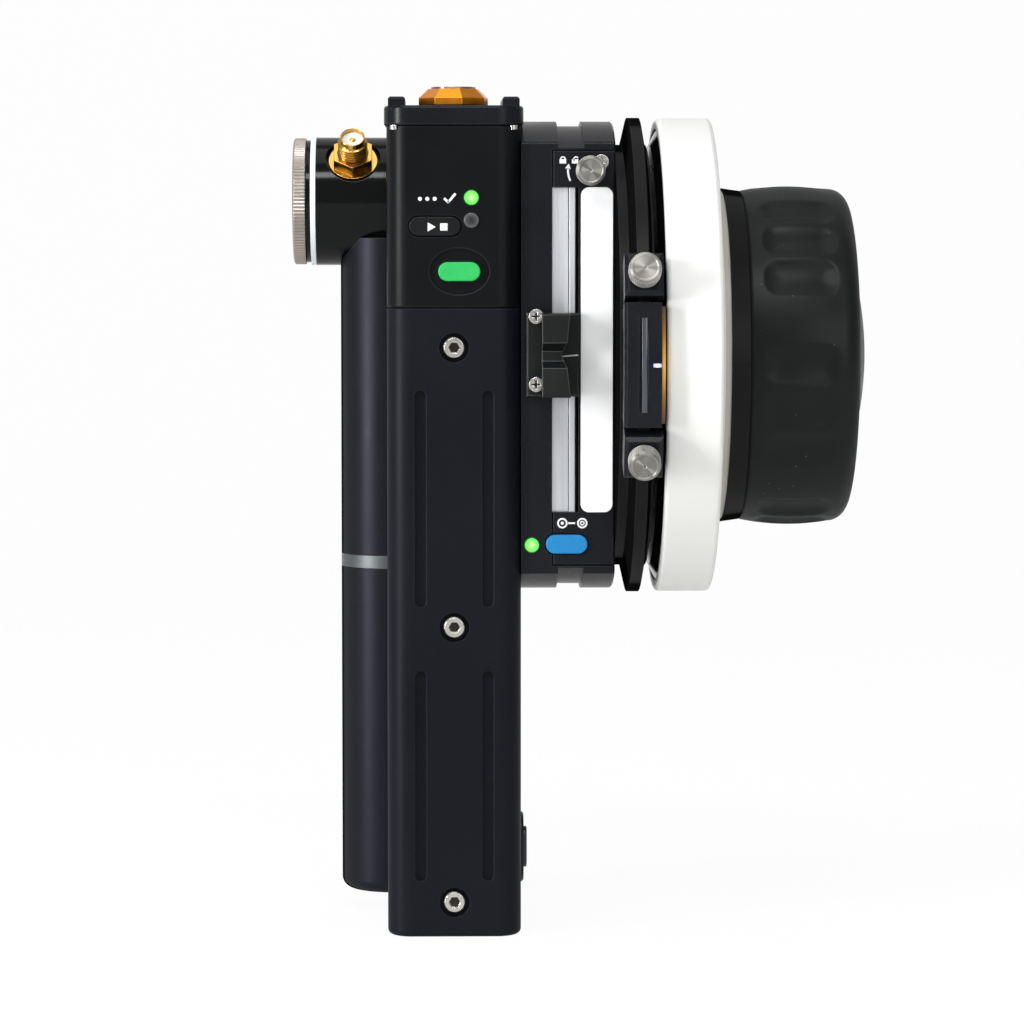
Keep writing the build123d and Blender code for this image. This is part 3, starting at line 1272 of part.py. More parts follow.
def marking_disc():
    web_left = DISC_RIGHT - DISC_WEB
    hub_inner = DISC_HUB_RADIUS - DISC_HUB_WALL
    disc = turned(
        [
            (DISC_LEFT, CARRIER_RADIUS),
            (DISC_LEFT, DISC_RADIUS),
            (DISC_RIGHT, DISC_RADIUS),
            (DISC_RIGHT, DISC_HUB_RADIUS),
            (KNOB_BASE_LEFT, DISC_HUB_RADIUS),
            (KNOB_BASE_LEFT, hub_inner),
            (DISC_RIGHT, hub_inner),
            (DISC_RIGHT, SHAFT_RADIUS),
            (web_left, SHAFT_RADIUS),
            (web_left, CARRIER_RADIUS),
        ]
    )
    rims = [
        edge
        for edge in disc.edges().filter_by(GeomType.CIRCLE)
        if abs(edge.radius - DISC_RADIUS) < MATCH
    ]
    return fillet(rims, DISC_ROUND)


def knob_core():
    inner = KNOB_CORE_RADIUS - KNOB_CORE_WALL
    plate = CORE_RIGHT - KNOB_CORE_WALL
    core = turned(
        [
            (DISC_RIGHT, SHAFT_RADIUS),
            (DISC_RIGHT, KNOB_HUB),
            (plate, KNOB_HUB),
            (plate, inner),
            (KNOB_BASE_LEFT, inner),
            (KNOB_BASE_LEFT, KNOB_BASE_RADIUS),
            (KNOB_LEFT, KNOB_START_RADIUS),
            (KNOB_LEFT, KNOB_CORE_RADIUS),
            (CORE_RIGHT, KNOB_CORE_RADIUS),
            (CORE_RIGHT, SHAFT_RADIUS),
        ]
    )
    return core


def dent(angle):
    """Long oval finger dent, as the shape that is cut away."""
    reach = KNOB_CROWN_RADIUS - DENT_DEPTH + DENT_RADIUS
    left = KNOB_LEFT + DENT_START
    y = AXIS_Y - reach
    shape = rod(DENT_RADIUS, (left, y, AXIS_Z), RIGHT, DENT_LENGTH)
    shape += Pos(left, y, AXIS_Z) * Sphere(DENT_RADIUS)
    shape += Pos(left + DENT_LENGTH, y, AXIS_Z) * Sphere(DENT_RADIUS)
    return raised(shape, angle)


def knob_grip():
    crown = (KNOB_LEFT + KNOB_LENGTH * KNOB_CROWN_SHARE, KNOB_CROWN_RADIUS)
    bend = KNOB_RIGHT - KNOB_ROUND
    half_turn = KNOB_ROUND * math.sqrt(0.5)
    round_middle = (bend + half_turn, KNOB_END_RADIUS - KNOB_ROUND + half_turn)
    face_radius = KNOB_END_RADIUS - KNOB_ROUND
    outline = [
        Line((KNOB_LEFT, KNOB_CORE_RADIUS), (KNOB_LEFT, KNOB_START_RADIUS)),
        ThreePointArc((KNOB_LEFT, KNOB_START_RADIUS), crown, (bend, KNOB_END_RADIUS)),
        ThreePointArc((bend, KNOB_END_RADIUS), round_middle, (KNOB_RIGHT, face_radius)),
        Line((KNOB_RIGHT, face_radius), (KNOB_RIGHT, DOME_RADIUS)),
        Line((KNOB_RIGHT, DOME_RADIUS), (CORE_RIGHT, DOME_RADIUS)),
        Line((CORE_RIGHT, DOME_RADIUS), (CORE_RIGHT, KNOB_CORE_RADIUS)),
        Line((CORE_RIGHT, KNOB_CORE_RADIUS), (KNOB_LEFT, KNOB_CORE_RADIUS)),
    ]
    grip = revolve(PROFILE * make_face(outline), FOCUS_AXIS)
    pitch = 360 / DENT_PLACE_COUNT
    for index in range(DENT_PLACE_COUNT):
        if index % DENT_GROUP_COUNT != 1:
            grip -= dent(pitch * index)
    return grip


def knob_end_cap():
    """Domed cover over the end of the shaft."""
    edge = KNOB_RIGHT + DOME_EDGE
    ball = (DOME_RADIUS**2 + DOME_RISE**2) / (2 * DOME_RISE)
    peak = edge + DOME_RISE
    dome = Pos(peak - ball, AXIS_Y, AXIS_Z) * Rot(0, 0, 180) * Sphere(ball)
    return axis_rod(DOME_RADIUS, CORE_RIGHT, peak) & dome


# Side barrel and antenna socket
def antenna_point(reach):
    """Point at a distance from the barrel's axis along the antenna."""
    return (ANTENNA_X, BARREL_Y + ANTENNA_WAY[1] * reach, BARREL_Z + ANTENNA_WAY[2] * reach)


def antenna_plane(reach):
    return Plane(origin=antenna_point(reach), x_dir=RIGHT, z_dir=ANTENNA_WAY)


def antenna_rod(radius, low, high):
    return extrude(antenna_plane(low) * Circle(radius), amount=high - low)


def barrel_pipe(outer, inner, x_low, x_high):
    return pipe(outer, inner, (x_low, BARREL_Y, BARREL_Z), RIGHT, x_high - x_low)


def side_barrel():
    barrel = barrel_pipe(BARREL_RADIUS, BARREL_BORE, LIP_LEFT, DRUM_LEFT)
    barrel -= barrel_pipe(BARREL_RADIUS + OVERRUN, SEAL_SEAT, SEAL_LEFT, SEAL_RIGHT)
    barrel -= barrel_pipe(BARREL_RADIUS + OVERRUN, BARREL_LIP_RADIUS, LIP_LEFT - OVERRUN, SEAL_LEFT)
    barrel -= antenna_rod(SOCKET_RECESS, SOCKET_FLOOR, BARREL_RADIUS + OVERRUN)
    return barrel - antenna_rod(SOCKET_THREAD + SCREW_FIT, 0, BARREL_RADIUS)


def barrel_seal_ring():
    return barrel_pipe(BARREL_RADIUS, SEAL_SEAT, SEAL_LEFT, SEAL_RIGHT)


def barrel_end_ring():
    depth = END_RING_KNURL_DEPTH
    place = Plane(origin=(END_RING_LEFT - OVERRUN, BARREL_Y, BARREL_Z), z_dir=RIGHT)
    ring = knurled(place, END_RING_RADIUS, depth, END_RING_KNURL_COUNT, END_RING_LENGTH + OVERRUN)
    blank_start = (END_RING_LEFT, BARREL_Y, BARREL_Z)
    blank = rod(END_RING_RADIUS + depth, blank_start, RIGHT, END_RING_LENGTH + OVERRUN)
    ring &= fillet(blank.edges().sort_by(Axis.X)[0], END_RING_ROUND + depth)
    start = (END_RING_LEFT + END_RING_LENGTH / 2, BARREL_Y, BARREL_Z)
    ring += rod(BARREL_BORE - RUNNING_FIT, start, RIGHT, END_RING_LENGTH / 2 + END_RING_PLUG)
    return ring - rod(END_RING_DISH, blank_start, RIGHT, END_RING_DISH_DEPTH)


def antenna_socket():
    """Threaded body with its tail flange, and the centre contact."""
    flange_foot = TAIL_FLANGE_TOP - TAIL_FLANGE_THICK
    bore_floor = SOCKET_TIP - SOCKET_BORE_DEPTH
    thread_foot = SOCKET_FLOOR + WASHER_THICK + RUNNING_FIT + NUT_THICK
    body = antenna_rod(SOCKET_NECK, flange_foot, SOCKET_TIP)
    body += antenna_rod(SOCKET_THREAD, thread_foot, SOCKET_TIP)
    body += antenna_rod(TAIL_FLANGE_RADIUS, flange_foot, TAIL_FLANGE_TOP)
    body -= antenna_rod(SOCKET_BORE, bore_floor, SOCKET_TIP + OVERRUN)
    contact = antenna_rod(SOCKET_CONTACT, bore_floor, SOCKET_TIP - CONTACT_SINK)
    return body + contact


def antenna_insulator():
    floor = SOCKET_TIP - SOCKET_BORE_DEPTH
    top = SOCKET_TIP - INSULATOR_SINK
    return antenna_rod(SOCKET_BORE, floor, top) - antenna_rod(SOCKET_CONTACT, floor, top)


def antenna_nut():
    """Lock washer and hexagon nut."""
    washer_top = SOCKET_FLOOR + WASHER_THICK
    bore = Circle(SOCKET_THREAD + SCREW_FIT)
    washer = extrude(antenna_plane(SOCKET_FLOOR) * (Circle(WASHER_RADIUS) - bore), amount=WASHER_THICK)
    hexagon = RegularPolygon(NUT_FLATS / 2, NUT_SIDES, major_radius=False, rotation=NUT_TURN)
    nut_foot = antenna_plane(washer_top + RUNNING_FIT)
    nut = extrude(nut_foot * (hexagon - bore), amount=NUT_THICK)
    return group([washer, nut])


def radio_board():
    top = TAIL_FLANGE_TOP - TAIL_FLANGE_THICK
    outline = Pos(RADIO_SHIFT, 0) * Rectangle(RADIO_LENGTH, RADIO_WIDTH)
    return extrude(antenna_plane(top - BOARD_THICK) * outline, amount=BOARD_THICK)


# Battery tube
def tube_rod(radius, z_low, z_high):
    return rod(radius, (TUBE_X, TUBE_Y, z_low), UP, z_high - z_low)


def tube_pipe(outer, inner, z_low, z_high):
    return pipe(outer, inner, (TUBE_X, TUBE_Y, z_low), UP, z_high - z_low)


def spigot_radius():
    return TUBE_BORE + COUPLING_WALL


def battery_tube_upper():
    tube = tube_pipe(TUBE_RADIUS, TUBE_BORE, COUPLING_TOP, TUBE_TOP)
    tube -= tube_rod(spigot_radius() + SCREW_FIT, COUPLING_TOP - OVERRUN, COUPLING_TOP + COUPLING_SPIGOT)
    reach = TUBE_RADIUS + OVERRUN
    return tube - rod(BARREL_RADIUS, (TUBE_X - reach, BARREL_Y, BARREL_Z), RIGHT, 2 * reach)


def tube_coupling():
    low = COUPLING_BOTTOM - COUPLING_SPIGOT
    high = COUPLING_TOP + COUPLING_SPIGOT
    ring = tube_pipe(TUBE_RADIUS, TUBE_BORE, COUPLING_BOTTOM, COUPLING_TOP)
    return ring + tube_pipe(spigot_radius(), TUBE_BORE, low, high)


def battery_tube_lower():
    top = COUPLING_BOTTOM - COUPLING_GAP
    tube = tube_rod(TUBE_RADIUS, TUBE_BOTTOM, top)
    tube = fillet(tube.edges().group_by(Axis.Z)[0], TUBE_FOOT_ROUND)
    tube -= tube_rod(TUBE_BORE, TUBE_BOTTOM + TUBE_FLOOR, top + OVERRUN)
    spigot_foot = COUPLING_BOTTOM - COUPLING_SPIGOT - COUPLING_GAP
    return tube - tube_rod(spigot_radius() + RUNNING_FIT, spigot_foot, top + OVERRUN)


def battery_cells():
    cells = []
    for bottom in (CELL_BOTTOM, CELL_MIDDLE):
        shoulder = bottom + CELL_LENGTH - CELL_NUB
        cell = tube_rod(CELL_RADIUS, bottom, shoulder)
        cells.append(cell + tube_rod(CELL_NUB_RADIUS, shoulder, bottom + CELL_LENGTH - RUNNING_FIT))
    return group(cells)


NODES = {
    "grip_front_cover": grip_front_cover,
    "grip_rear_shell": grip_rear_shell,
    "grip_screws": grip_screws,
    "main_board": main_board,
    "head_housing": head_housing,
    "control_board": control_board,
    "ready_light": ready_light,
    "run_light": run_light,
    "start_button": start_button,
    "run_button": run_button,
    "lens_button": lens_button,
    "lens_light": lens_light,
    "side_button": side_button,
    "side_button_bezel": side_button_bezel,
    "top_cap": top_cap,
    "menu_encoder": menu_encoder,
    "top_knob": top_knob,
    "top_knob_disc": top_knob_disc,
    "case_screws": case_screws,
    "drum_housing": drum_housing,
    "drum_side_cover": drum_side_cover,
    "sensor_board": sensor_board,
    "slider_plate": slider_plate,
    "slider_rail": slider_rail,
    "marking_strip": marking_strip,
    "slider_board": slider_board,
    "slider_carriage": slider_carriage,
    "slider_knob": slider_knob,
    "slider_screws": slider_screws,
    "lock_knob": lock_knob,
    "stop_ring": stop_ring,
    "index_block": index_block,
    "index_mark_light": index_mark_light,
    "index_light_guide": index_light_guide,
    "bearing_outer_races": bearing_outer_races,
    "bearing_inner_races": bearing_inner_races,
    "focus_shaft": focus_shaft,
    "encoder_magnet": encoder_magnet,
    "disc_carrier": disc_carrier,
    "stop_pin": stop_pin,
    "marking_disc": marking_disc,
    "knob_core": knob_core,
    "knob_grip": knob_grip,
    "knob_end_cap": knob_end_cap,
    "side_barrel": side_barrel,
    "barrel_seal_ring": barrel_seal_ring,
    "barrel_end_ring": barrel_end_ring,
    "antenna_socket": antenna_socket,
    "antenna_insulator": antenna_insulator,
    "antenna_nut": antenna_nut,
    "radio_board": radio_board,
    "battery_tube_upper": battery_tube_upper,
    "tube_coupling": tube_coupling,
    "battery_tube_lower": battery_tube_lower,
    "battery_cells": battery_cells,
}


def main():
    os.makedirs("parts", exist_ok=True)
    for name, make in NODES.items():
        export_step(make(), "parts/" + name + ".step")
    for name, angle in (("upper", UPPER_STOP_ANGLE), ("lower", -LOWER_STOP_ANGLE)):
        export_step(stop_clamp(angle), "parts/stop_clamp_" + name + ".step")
        export_step(thumbscrew(angle), "parts/thumbscrew_" + name + ".step")


if __name__ == "__main__":
    main()
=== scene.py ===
# %% [markdown]
# # Looks of a lens control hand unit
# The solids of the hand unit come from its CAD model, which is loaded here as a fixed frame. Blender
# adds what solids do not carry: finishes, light, a camera, and a few pieces with soft or fine shapes.
# Every piece stays in the CAD frame, in metres, so a size in millimetres is multiplied by MM.

import math

import bmesh
import bpy
from mathutils import Matrix, Vector


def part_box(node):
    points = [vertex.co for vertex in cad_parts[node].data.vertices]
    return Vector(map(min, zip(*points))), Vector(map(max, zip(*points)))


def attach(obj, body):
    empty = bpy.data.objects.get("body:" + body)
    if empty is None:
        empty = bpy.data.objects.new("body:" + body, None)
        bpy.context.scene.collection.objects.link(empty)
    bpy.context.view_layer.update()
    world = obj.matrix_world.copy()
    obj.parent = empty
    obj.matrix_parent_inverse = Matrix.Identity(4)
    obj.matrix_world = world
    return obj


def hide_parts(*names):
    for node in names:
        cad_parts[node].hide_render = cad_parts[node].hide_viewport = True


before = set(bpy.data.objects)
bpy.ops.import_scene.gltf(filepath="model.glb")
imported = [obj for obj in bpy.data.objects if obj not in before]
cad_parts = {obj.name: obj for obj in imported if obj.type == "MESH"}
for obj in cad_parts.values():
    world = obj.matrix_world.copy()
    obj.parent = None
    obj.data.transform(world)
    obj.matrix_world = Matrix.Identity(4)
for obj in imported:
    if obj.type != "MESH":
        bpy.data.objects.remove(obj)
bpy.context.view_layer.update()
MM = 0.001
scene = bpy.context.scene

# %% [markdown]
# ## Camera
# The photograph was taken from about 0.8 m with a long lens, a little above the middle of the unit and
# to its left, so that the left flanks of the rings show. A camera could be turned by hand until it
# fits; here its place was worked out from the rings' widths, and it is only aimed at a point.

# %% Camera
CAMERA_PLACE = Vector((-4.9, -820.0, 146.0)) * MM
CAMERA_AIM = Vector((12.3, 10.0, 86.1)) * MM
camera_data = bpy.data.cameras.new("camera")
camera_data.sensor_width = 36.0
camera_data.lens = 139.0
camera = bpy.data.objects.new("camera", camera_data)
scene.collection.objects.link(camera)
camera.location = CAMERA_PLACE
camera.rotation_euler = (CAMERA_AIM - CAMERA_PLACE).to_track_quat("-Z", "Y").to_euler()
scene.camera = camera
scene.view_settings.view_transform = "Standard"
print("camera distance mm", round((CAMERA_AIM - CAMERA_PLACE).length / MM))

# %% [markdown]
# ## Colours and nodes
# A colour is read off a picture as an sRGB hex value, but shaders add up light, so one function turns
# it to linear numbers. Materials are webs of nodes, and one function adds a node with its settings and
# links, which keeps each finish down to a few readable lines. Inputs that share a name are given by
# number: in a Mix of colours 0 is the share, and 6 and 7 are the two colours.


# %% Colour and node helpers
def tone(code):
    """Linear colour from an sRGB hex value."""
    channels = [int(code[i : i + 2], 16) / 255 for i in (1, 3, 5)]
    linear = [c / 12.92 if c <= 0.04045 else ((c + 0.055) / 1.055) ** 2.4 for c in channels]
    return (*linear, 1.0)


def add_node(material, kind, settings=None, links=None):
    """Adds a node. Settings name its inputs or properties, and links name the sockets that feed it."""
    tree = material.node_tree
    node = tree.nodes.new(kind)
    for name, value in (settings or {}).items():
        if isinstance(name, str) and hasattr(node, name):
            setattr(node, name, value)
        else:
            node.inputs[name].default_value = value
    for name, socket in (links or {}).items():
        tree.links.new(socket, node.inputs[name])
    return node


def new_material(name):
    """Material with no nodes yet."""
    material = bpy.data.materials.new(name)
    material.use_nodes = True
    material.node_tree.nodes.clear()
    return material


def per_mm(size):
    """Noise scale that gives blotches of a size in millimetres."""
    return 1.0 / (size * MM)


print("black in linear light", [round(c, 4) for c in tone("#14161C")])

# %% [markdown]
# ## Tones that lie over a colour
# Edges get a tone of their own. On most parts it is paler, the wear that hands leave and in part a
# painted highlight; on the slider it is a painted highlight, and round the buttons it is darker, a
# painted shade. Dust settles on rubber, and the sockets of screws get painted shade. Each of these is
# one more tone, mixed over the colour by a mask. The Bevel node finds the edges, as it looks sideways
# under the surface and gives a normal that differs from the flat one only there. A painted image could
# do all this too, but would need unwrapping.

# %% Extra tones
EDGE_TONE_REACH = 0.35
DUST_CELL = 3.0


# Paler tones laid here are wear and in part painted highlight; the darker tone of the buttons is painted
# shade.
def tone_on_edges(material, colour, clouds, code):
    """Lays a tone over the edges, in patches that follow the clouds."""
    wide = add_node(material, "ShaderNodeBevel", {"samples": 6, "Radius": EDGE_TONE_REACH * MM})
    flat = add_node(material, "ShaderNodeNewGeometry").outputs["Normal"]
    align = add_node(
        material,
        "ShaderNodeVectorMath",
        {"operation": "DOT_PRODUCT"},
        {0: wide.outputs["Normal"], 1: flat},
    )
    edge = add_node(
        material,
        "ShaderNodeMapRange",
        {"From Min": 0.995, "From Max": 0.86, "To Min": 0.0, "To Max": 1.0},
        {"Value": align.outputs["Value"]},
    )
    patchy = add_node(
        material,
        "ShaderNodeMath",
        {"operation": "MULTIPLY"},
        {0: edge.outputs[0], 1: clouds},
    )
    mixed = add_node(
        material,
        "ShaderNodeMix",
        {"data_type": "RGBA", 7: tone(code)},
        {0: patchy.outputs[0], 6: colour},
    )
    return mixed.outputs[2]


def dust_specks(material, colour, place, code):
    """Lays specks of a tone near the middles of a pattern of cells."""
    cells = add_node(material, "ShaderNodeTexVoronoi", {"Scale": per_mm(DUST_CELL)}, {"Vector": place})
    speck = add_node(
        material,
        "ShaderNodeMapRange",
        {"From Min": 0.03, "From Max": 0.055, "To Min": 0.8, "To Max": 0.0},
        {"Value": cells.outputs["Distance"]},
    )
    mixed = add_node(
        material,
        "ShaderNodeMix",
        {"data_type": "RGBA", 7: tone(code)},
        {0: speck.outputs[0], 6: colour},
    )
    return mixed.outputs[2]


def tone_beyond(material, colour, place, axis, start, code):
    """Lays a tone over what lies beyond a place along an axis."""
    along = add_node(material, "ShaderNodeSeparateXYZ", None, {0: place}).outputs[axis]
    past = add_node(material, "ShaderNodeMath", {"operation": "GREATER_THAN", 1: start}, {0: along})
    mixed = add_node(
        material,
        "ShaderNodeMix",
        {"data_type": "RGBA", 7: tone(code)},
        {0: past.outputs[0], 6: colour},
    )
    return mixed.outputs[2]


print("edges are rubbed over mm", EDGE_TONE_REACH)

# %% [markdown]
# ## Lines, brushing and glare
# A lathe or a mill leaves fine lines, which bump the surface in waves. Lines too fine to see still
# stretch a glint across them, and the shader does that by a tangent that runs the way of the brushing.
# Dark porous skins lose light that strikes at a slant, so their glare has one level straight on and
# another at a slant.


# %% Lines, brushing and glare
def tool_lines(material, place, normal, pitch, depth, axis):
    """Fine lines that a lathe or mill leaves, as bands along an axis."""
    # One wave of this texture is pi / 10 long at a scale of 1
    scale = math.pi / 10 / (pitch * MM)
    wave = add_node(
        material,
        "ShaderNodeTexWave",
        {"bands_direction": axis, "Scale": scale, "Distortion": 1.2, "Detail": 2.0},
        {"Vector": place},
    )
    bump = add_node(
        material,
        "ShaderNodeBump",
        {"Strength": 0.5, "Distance": depth * MM},
        {"Height": wave.outputs["Fac"], "Normal": normal},
    )
    return bump.outputs["Normal"]


def spun_tangent(material, place, centre, axis):
    """Direction of brushing that runs round an axis through a point."""
    arm = add_node(material, "ShaderNodeVectorMath", {"operation": "SUBTRACT", 1: centre}, {0: place})
    around = add_node(
        material,
        "ShaderNodeVectorMath",
        {"operation": "CROSS_PRODUCT", 1: axis},
        {0: arm.outputs["Vector"]},
    )
    turned_to_world = add_node(
        material,
        "ShaderNodeVectorTransform",
        {"vector_type": "VECTOR", "convert_from": "OBJECT", "convert_to": "WORLD"},
        {"Vector": around.outputs["Vector"]},
    )
    return turned_to_world.outputs["Vector"]


def glare_level(material, normal, straight, slanted):
    """Strength of the glare, from straight on to a slanted view."""
    slant = add_node(material, "ShaderNodeLayerWeight", {"Blend": 0.5}, {"Normal": normal})
    level = add_node(
        material,
        "ShaderNodeMapRange",
        {"From Min": 0.15, "From Max": 0.75, "To Min": straight, "To Max": slanted},
        {"Value": slant.outputs["Facing"]},
    )
    return level.outputs[0]


print("wave scale for a pitch of 0.5 mm", round(math.pi / 10 / (0.5 * MM)))

# %% [markdown]
# ## One recipe for the coated surfaces
# Moulded plastic, rubber and metal differ in colour and gloss, but share a build-up: two close tones in
# soft clouds, a fine grain, and gloss that changes from place to place. A second Bevel node rounds the
# sharp CAD edges for the light. One function builds this, and takes the extras above when asked.

# %% Recipe for coated surfaces
EDGE_ROUND = 0.22


def coated(
    name,
    dark,
    light,
    rough,
    grain,
    depth,
    cloud=14.0,
    edge_tone=None,
    sockets=None,
    lines=None,
    spun=None,
    dust=None,
    glare=None,
    stretch=None,
    band=None,
):
    """Finish with two cloudy tones, a grain in mm and uneven gloss, from least to most rough. If asked:
    a tone for edges or dust, tool lines, brushing spun about a point and axis, glare straight on and
    slanted, stretched clouds, and a band with a tone of its own beyond a place along an axis."""
    material = new_material(name)
    place = add_node(material, "ShaderNodeTexCoord").outputs["Object"]
    field = place
    if stretch:
        field = add_node(material, "ShaderNodeMapping", {"Scale": stretch}, {"Vector": place}).outputs[0]
    clouds = add_node(
        material,
        "ShaderNodeTexNoise",
        {"Scale": per_mm(cloud), "Detail": 5.0, "Roughness": 0.6},
        {"Vector": field},
    ).outputs["Fac"]
    colour = add_node(
        material,
        "ShaderNodeMix",
        {"data_type": "RGBA", 6: tone(dark), 7: tone(light)},
        {0: clouds},
    ).outputs[2]
    if band:
        colour = tone_beyond(material, colour, place, *band)
    if edge_tone:
        colour = tone_on_edges(material, colour, clouds, edge_tone)
    if dust:
        colour = dust_specks(material, colour, place, dust)
    gloss = add_node(
        material,
        "ShaderNodeMapRange",
        {"From Min": 0.3, "From Max": 0.7, "To Min": rough[0], "To Max": rough[1]},
        {"Value": clouds},
    )
    rounded = add_node(material, "ShaderNodeBevel", {"samples": 6, "Radius": EDGE_ROUND * MM})
    grit = add_node(
        material, "ShaderNodeTexNoise", {"Scale": per_mm(grain), "Detail": 3.0}, {"Vector": place}
    )
    normal = add_node(
        material,
        "ShaderNodeBump",
        {"Strength": 0.6, "Distance": depth * MM},
        {"Height": grit.outputs["Fac"], "Normal": rounded.outputs["Normal"]},
    ).outputs["Normal"]
    if lines:
        normal = tool_lines(material, place, normal, **lines)
    links = {"Base Color": colour, "Roughness": gloss.outputs[0], "Normal": normal}
    if spun:
        links["Tangent"] = spun_tangent(material, place, *spun)
    if glare:
        links["Specular IOR Level"] = glare_level(material, normal, *glare)
    shader = add_node(material, "ShaderNodeBsdfPrincipled", sockets, links)
    add_node(material, "ShaderNodeOutputMaterial", None, {"Surface": shader.outputs["BSDF"]})
    return material


def dress(material, *nodes):
    """Gives CAD nodes one finish."""
    for node in nodes:
        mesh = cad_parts[node].data
        mesh.materials.clear()
        mesh.materials.append(material)


print("edges are rounded for the light over mm", EDGE_ROUND)

# %% [markdown]
# ## Moulded grip
# The column is a glass-filled nylon moulding. Its mould was spark eroded, which leaves a fine matt
# grain, and years of hands polish it unevenly. The real grain is about 0.1 mm and would vanish at this
# distance, so it is drawn at 0.5 mm.

# %% Grip
spark_grain_nylon = coated(
    "spark grained nylon, blue black",
    "#0E0F14",
    "#15171D",
    (0.34, 0.46),
    grain=0.5,
    depth=0.03,
    cloud=36.0,
    edge_tone="#2C3038",
    sockets={"IOR": 1.53},
    glare=(0.08, 0.02),
)
dress(spark_grain_nylon, "grip_front_cover", "grip_rear_shell")
print("grip dressed")

# %% [markdown]
# ## Black anodised aluminium
# Head, lid, drum and stops are aluminium with a dyed oxide skin. They were milled and then bead
# blasted, and look even and satin. The oxide is thin, so sharp edges show a little of the metal, and
# their paler tone is in part a painted highlight. It is also porous, so its glare fades towards the
# sides of a round part.

# %% Blasted parts
BLACK_OXIDE = {"IOR": 1.6}
blasted_black = coated(
    "bead blasted aluminium, black anodised",
    "#0E0F13",
    "#16171C",
    (0.24, 0.32),
    grain=0.35,
    depth=0.012,
    edge_tone="#363A42",
    sockets=BLACK_OXIDE,
    glare=(0.11, 0.03),
)
deep_black = coated(
    "bead blasted aluminium, deep black anodised",
    "#08090A",
    "#0E0F12",
    (0.34, 0.42),
    grain=0.35,
    depth=0.012,
    edge_tone="#3A3D46",
    sockets=BLACK_OXIDE,
    glare=(0.08, 0.03),
)
dress(deep_black, "head_housing")
dress(
    blasted_black,
    "top_cap",
    "drum_housing",
    "drum_side_cover",
    "slider_plate",
    "index_block",
    "side_button_bezel",
    "stop_clamp_upper",
    "stop_clamp_lower",
)
print("blasted parts dressed")

# %% [markdown]
# Rings, barrel and tube are turned or drawn, and keep fine lines that pull highlights into streaks. The
# barrel and the backing of the disc are glossy, the stop ring and the core of the knob are matt, and
# the highlight of the tube is a little blue.

# %% Turned parts
turned_black = coated(
    "turned aluminium, black anodised",
    "#060707",
    "#0C0D0E",
    (0.08, 0.13),
    grain=0.4,
    depth=0.006,
    edge_tone="#3A3C3F",
    sockets=BLACK_OXIDE,
    glare=(0.12, 0.03),
    lines={"pitch": 0.45, "depth": 0.006, "axis": "X"},
)
dress(turned_black, "disc_carrier", "side_barrel")
matt_black = coated(
    "turned aluminium, matt black anodised",
    "#090909",
    "#101011",
    (0.36, 0.46),
    grain=0.4,
    depth=0.01,
    edge_tone="#2C2E31",
    sockets=BLACK_OXIDE,
    lines={"pitch": 0.45, "depth": 0.004, "axis": "X"},
    glare=(0.1, 0.0),
)
dress(matt_black, "stop_ring", "knob_core")
tube_black = coated(
    "drawn aluminium tube, black anodised",
    "#0A0B0E",
    "#121317",
    (0.36, 0.44),
    grain=0.45,
    depth=0.008,
    edge_tone="#3A3C3F",
    sockets={**BLACK_OXIDE, "Specular Tint": tone("#E2E5FF")},
    glare=(0.15, 0.0),
    lines={"pitch": 0.5, "depth": 0.004, "axis": "Z"},
)
dress(tube_black, "battery_tube_upper", "battery_tube_lower")
print("turned parts dressed")

# %% [markdown]
# ## Bare metals
# Thumb knobs are stainless steel, faced on a lathe, so their flat ends carry rings too fine to see that
# spread the light into a two-armed glint. A metal has no colour under its shine: the tint is its base
# colour. The thumbscrews point at the focus axis, each at its own angle up from the front.

# %% Turned steel
METAL = {"Metallic": 1.0}
SPUN_METAL = {**METAL, "Anisotropic": 0.95, "Anisotropic Rotation": 0.25}
THUMBSCREW_ANGLES = {"thumbscrew_upper": 19.4, "thumbscrew_lower": -20.7}
disc_low, disc_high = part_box("marking_disc")
FOCUS_AXIS = Vector((0.0, (disc_low.y + disc_high.y) / 2, (disc_low.z + disc_high.z) / 2))


def faced_steel(name, centre, axis):
    """Stainless steel turned about an axis through a point."""
    return coated(
        name,
        "#84827D",
        "#A09E98",
        (0.44, 0.54),
        grain=0.6,
        depth=0.004,
        cloud=3.0,
        edge_tone="#F2F0EA",
        sockets=SPUN_METAL,
        spun=(centre, axis),
    )


def middle(node):
    """Middle of a node's box."""
    low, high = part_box(node)
    return (low + high) / 2


def stop_axis(degrees):
    """Direction from the focus axis to a thumbscrew, up from the front."""
    return Vector((0.0, -math.cos(math.radians(degrees)), math.sin(math.radians(degrees))))


def stop_centre(node):
    """Point of the focus axis that a thumbscrew points at."""
    return Vector((middle(node).x, FOCUS_AXIS.y, FOCUS_AXIS.z))


lock_steel = faced_steel("faced stainless steel, lock knob", middle("lock_knob"), (0, 1, 0))
dress(lock_steel, "lock_knob")
disc_steel = faced_steel("faced stainless steel, top disc", middle("top_knob_disc"), (0, 0, 1))
dress(disc_steel, "top_knob_disc")
for node, degrees in THUMBSCREW_ANGLES.items():
    dress(faced_steel(f"faced stainless steel, {node}", stop_centre(node), stop_axis(degrees)), node)
satin_steel = coated(
    "satin stainless steel, end ring",
    "#968E87",
    "#B2AAA3",
    (0.34, 0.42),
    grain=0.5,
    depth=0.006,
    cloud=6.0,
    sockets=METAL,
)
dress(satin_steel, "barrel_end_ring")
print("turned steel dressed")

# %% [markdown]
# Screws, shaft and bearings are ground or tumbled and have no direction in their shine. In the
# sockets of screws, what lies deeper than a little below the heads gets a dark tone, painted shade in
# the recess.

# %% Ground steel
# Screws, how far below the heads their sockets start in mm, and the tone of painted shade in them
SOCKET_SHADE = (("grip_screws", 0.4, "#3A3632"), ("slider_screws", 0.2, "#141414"))


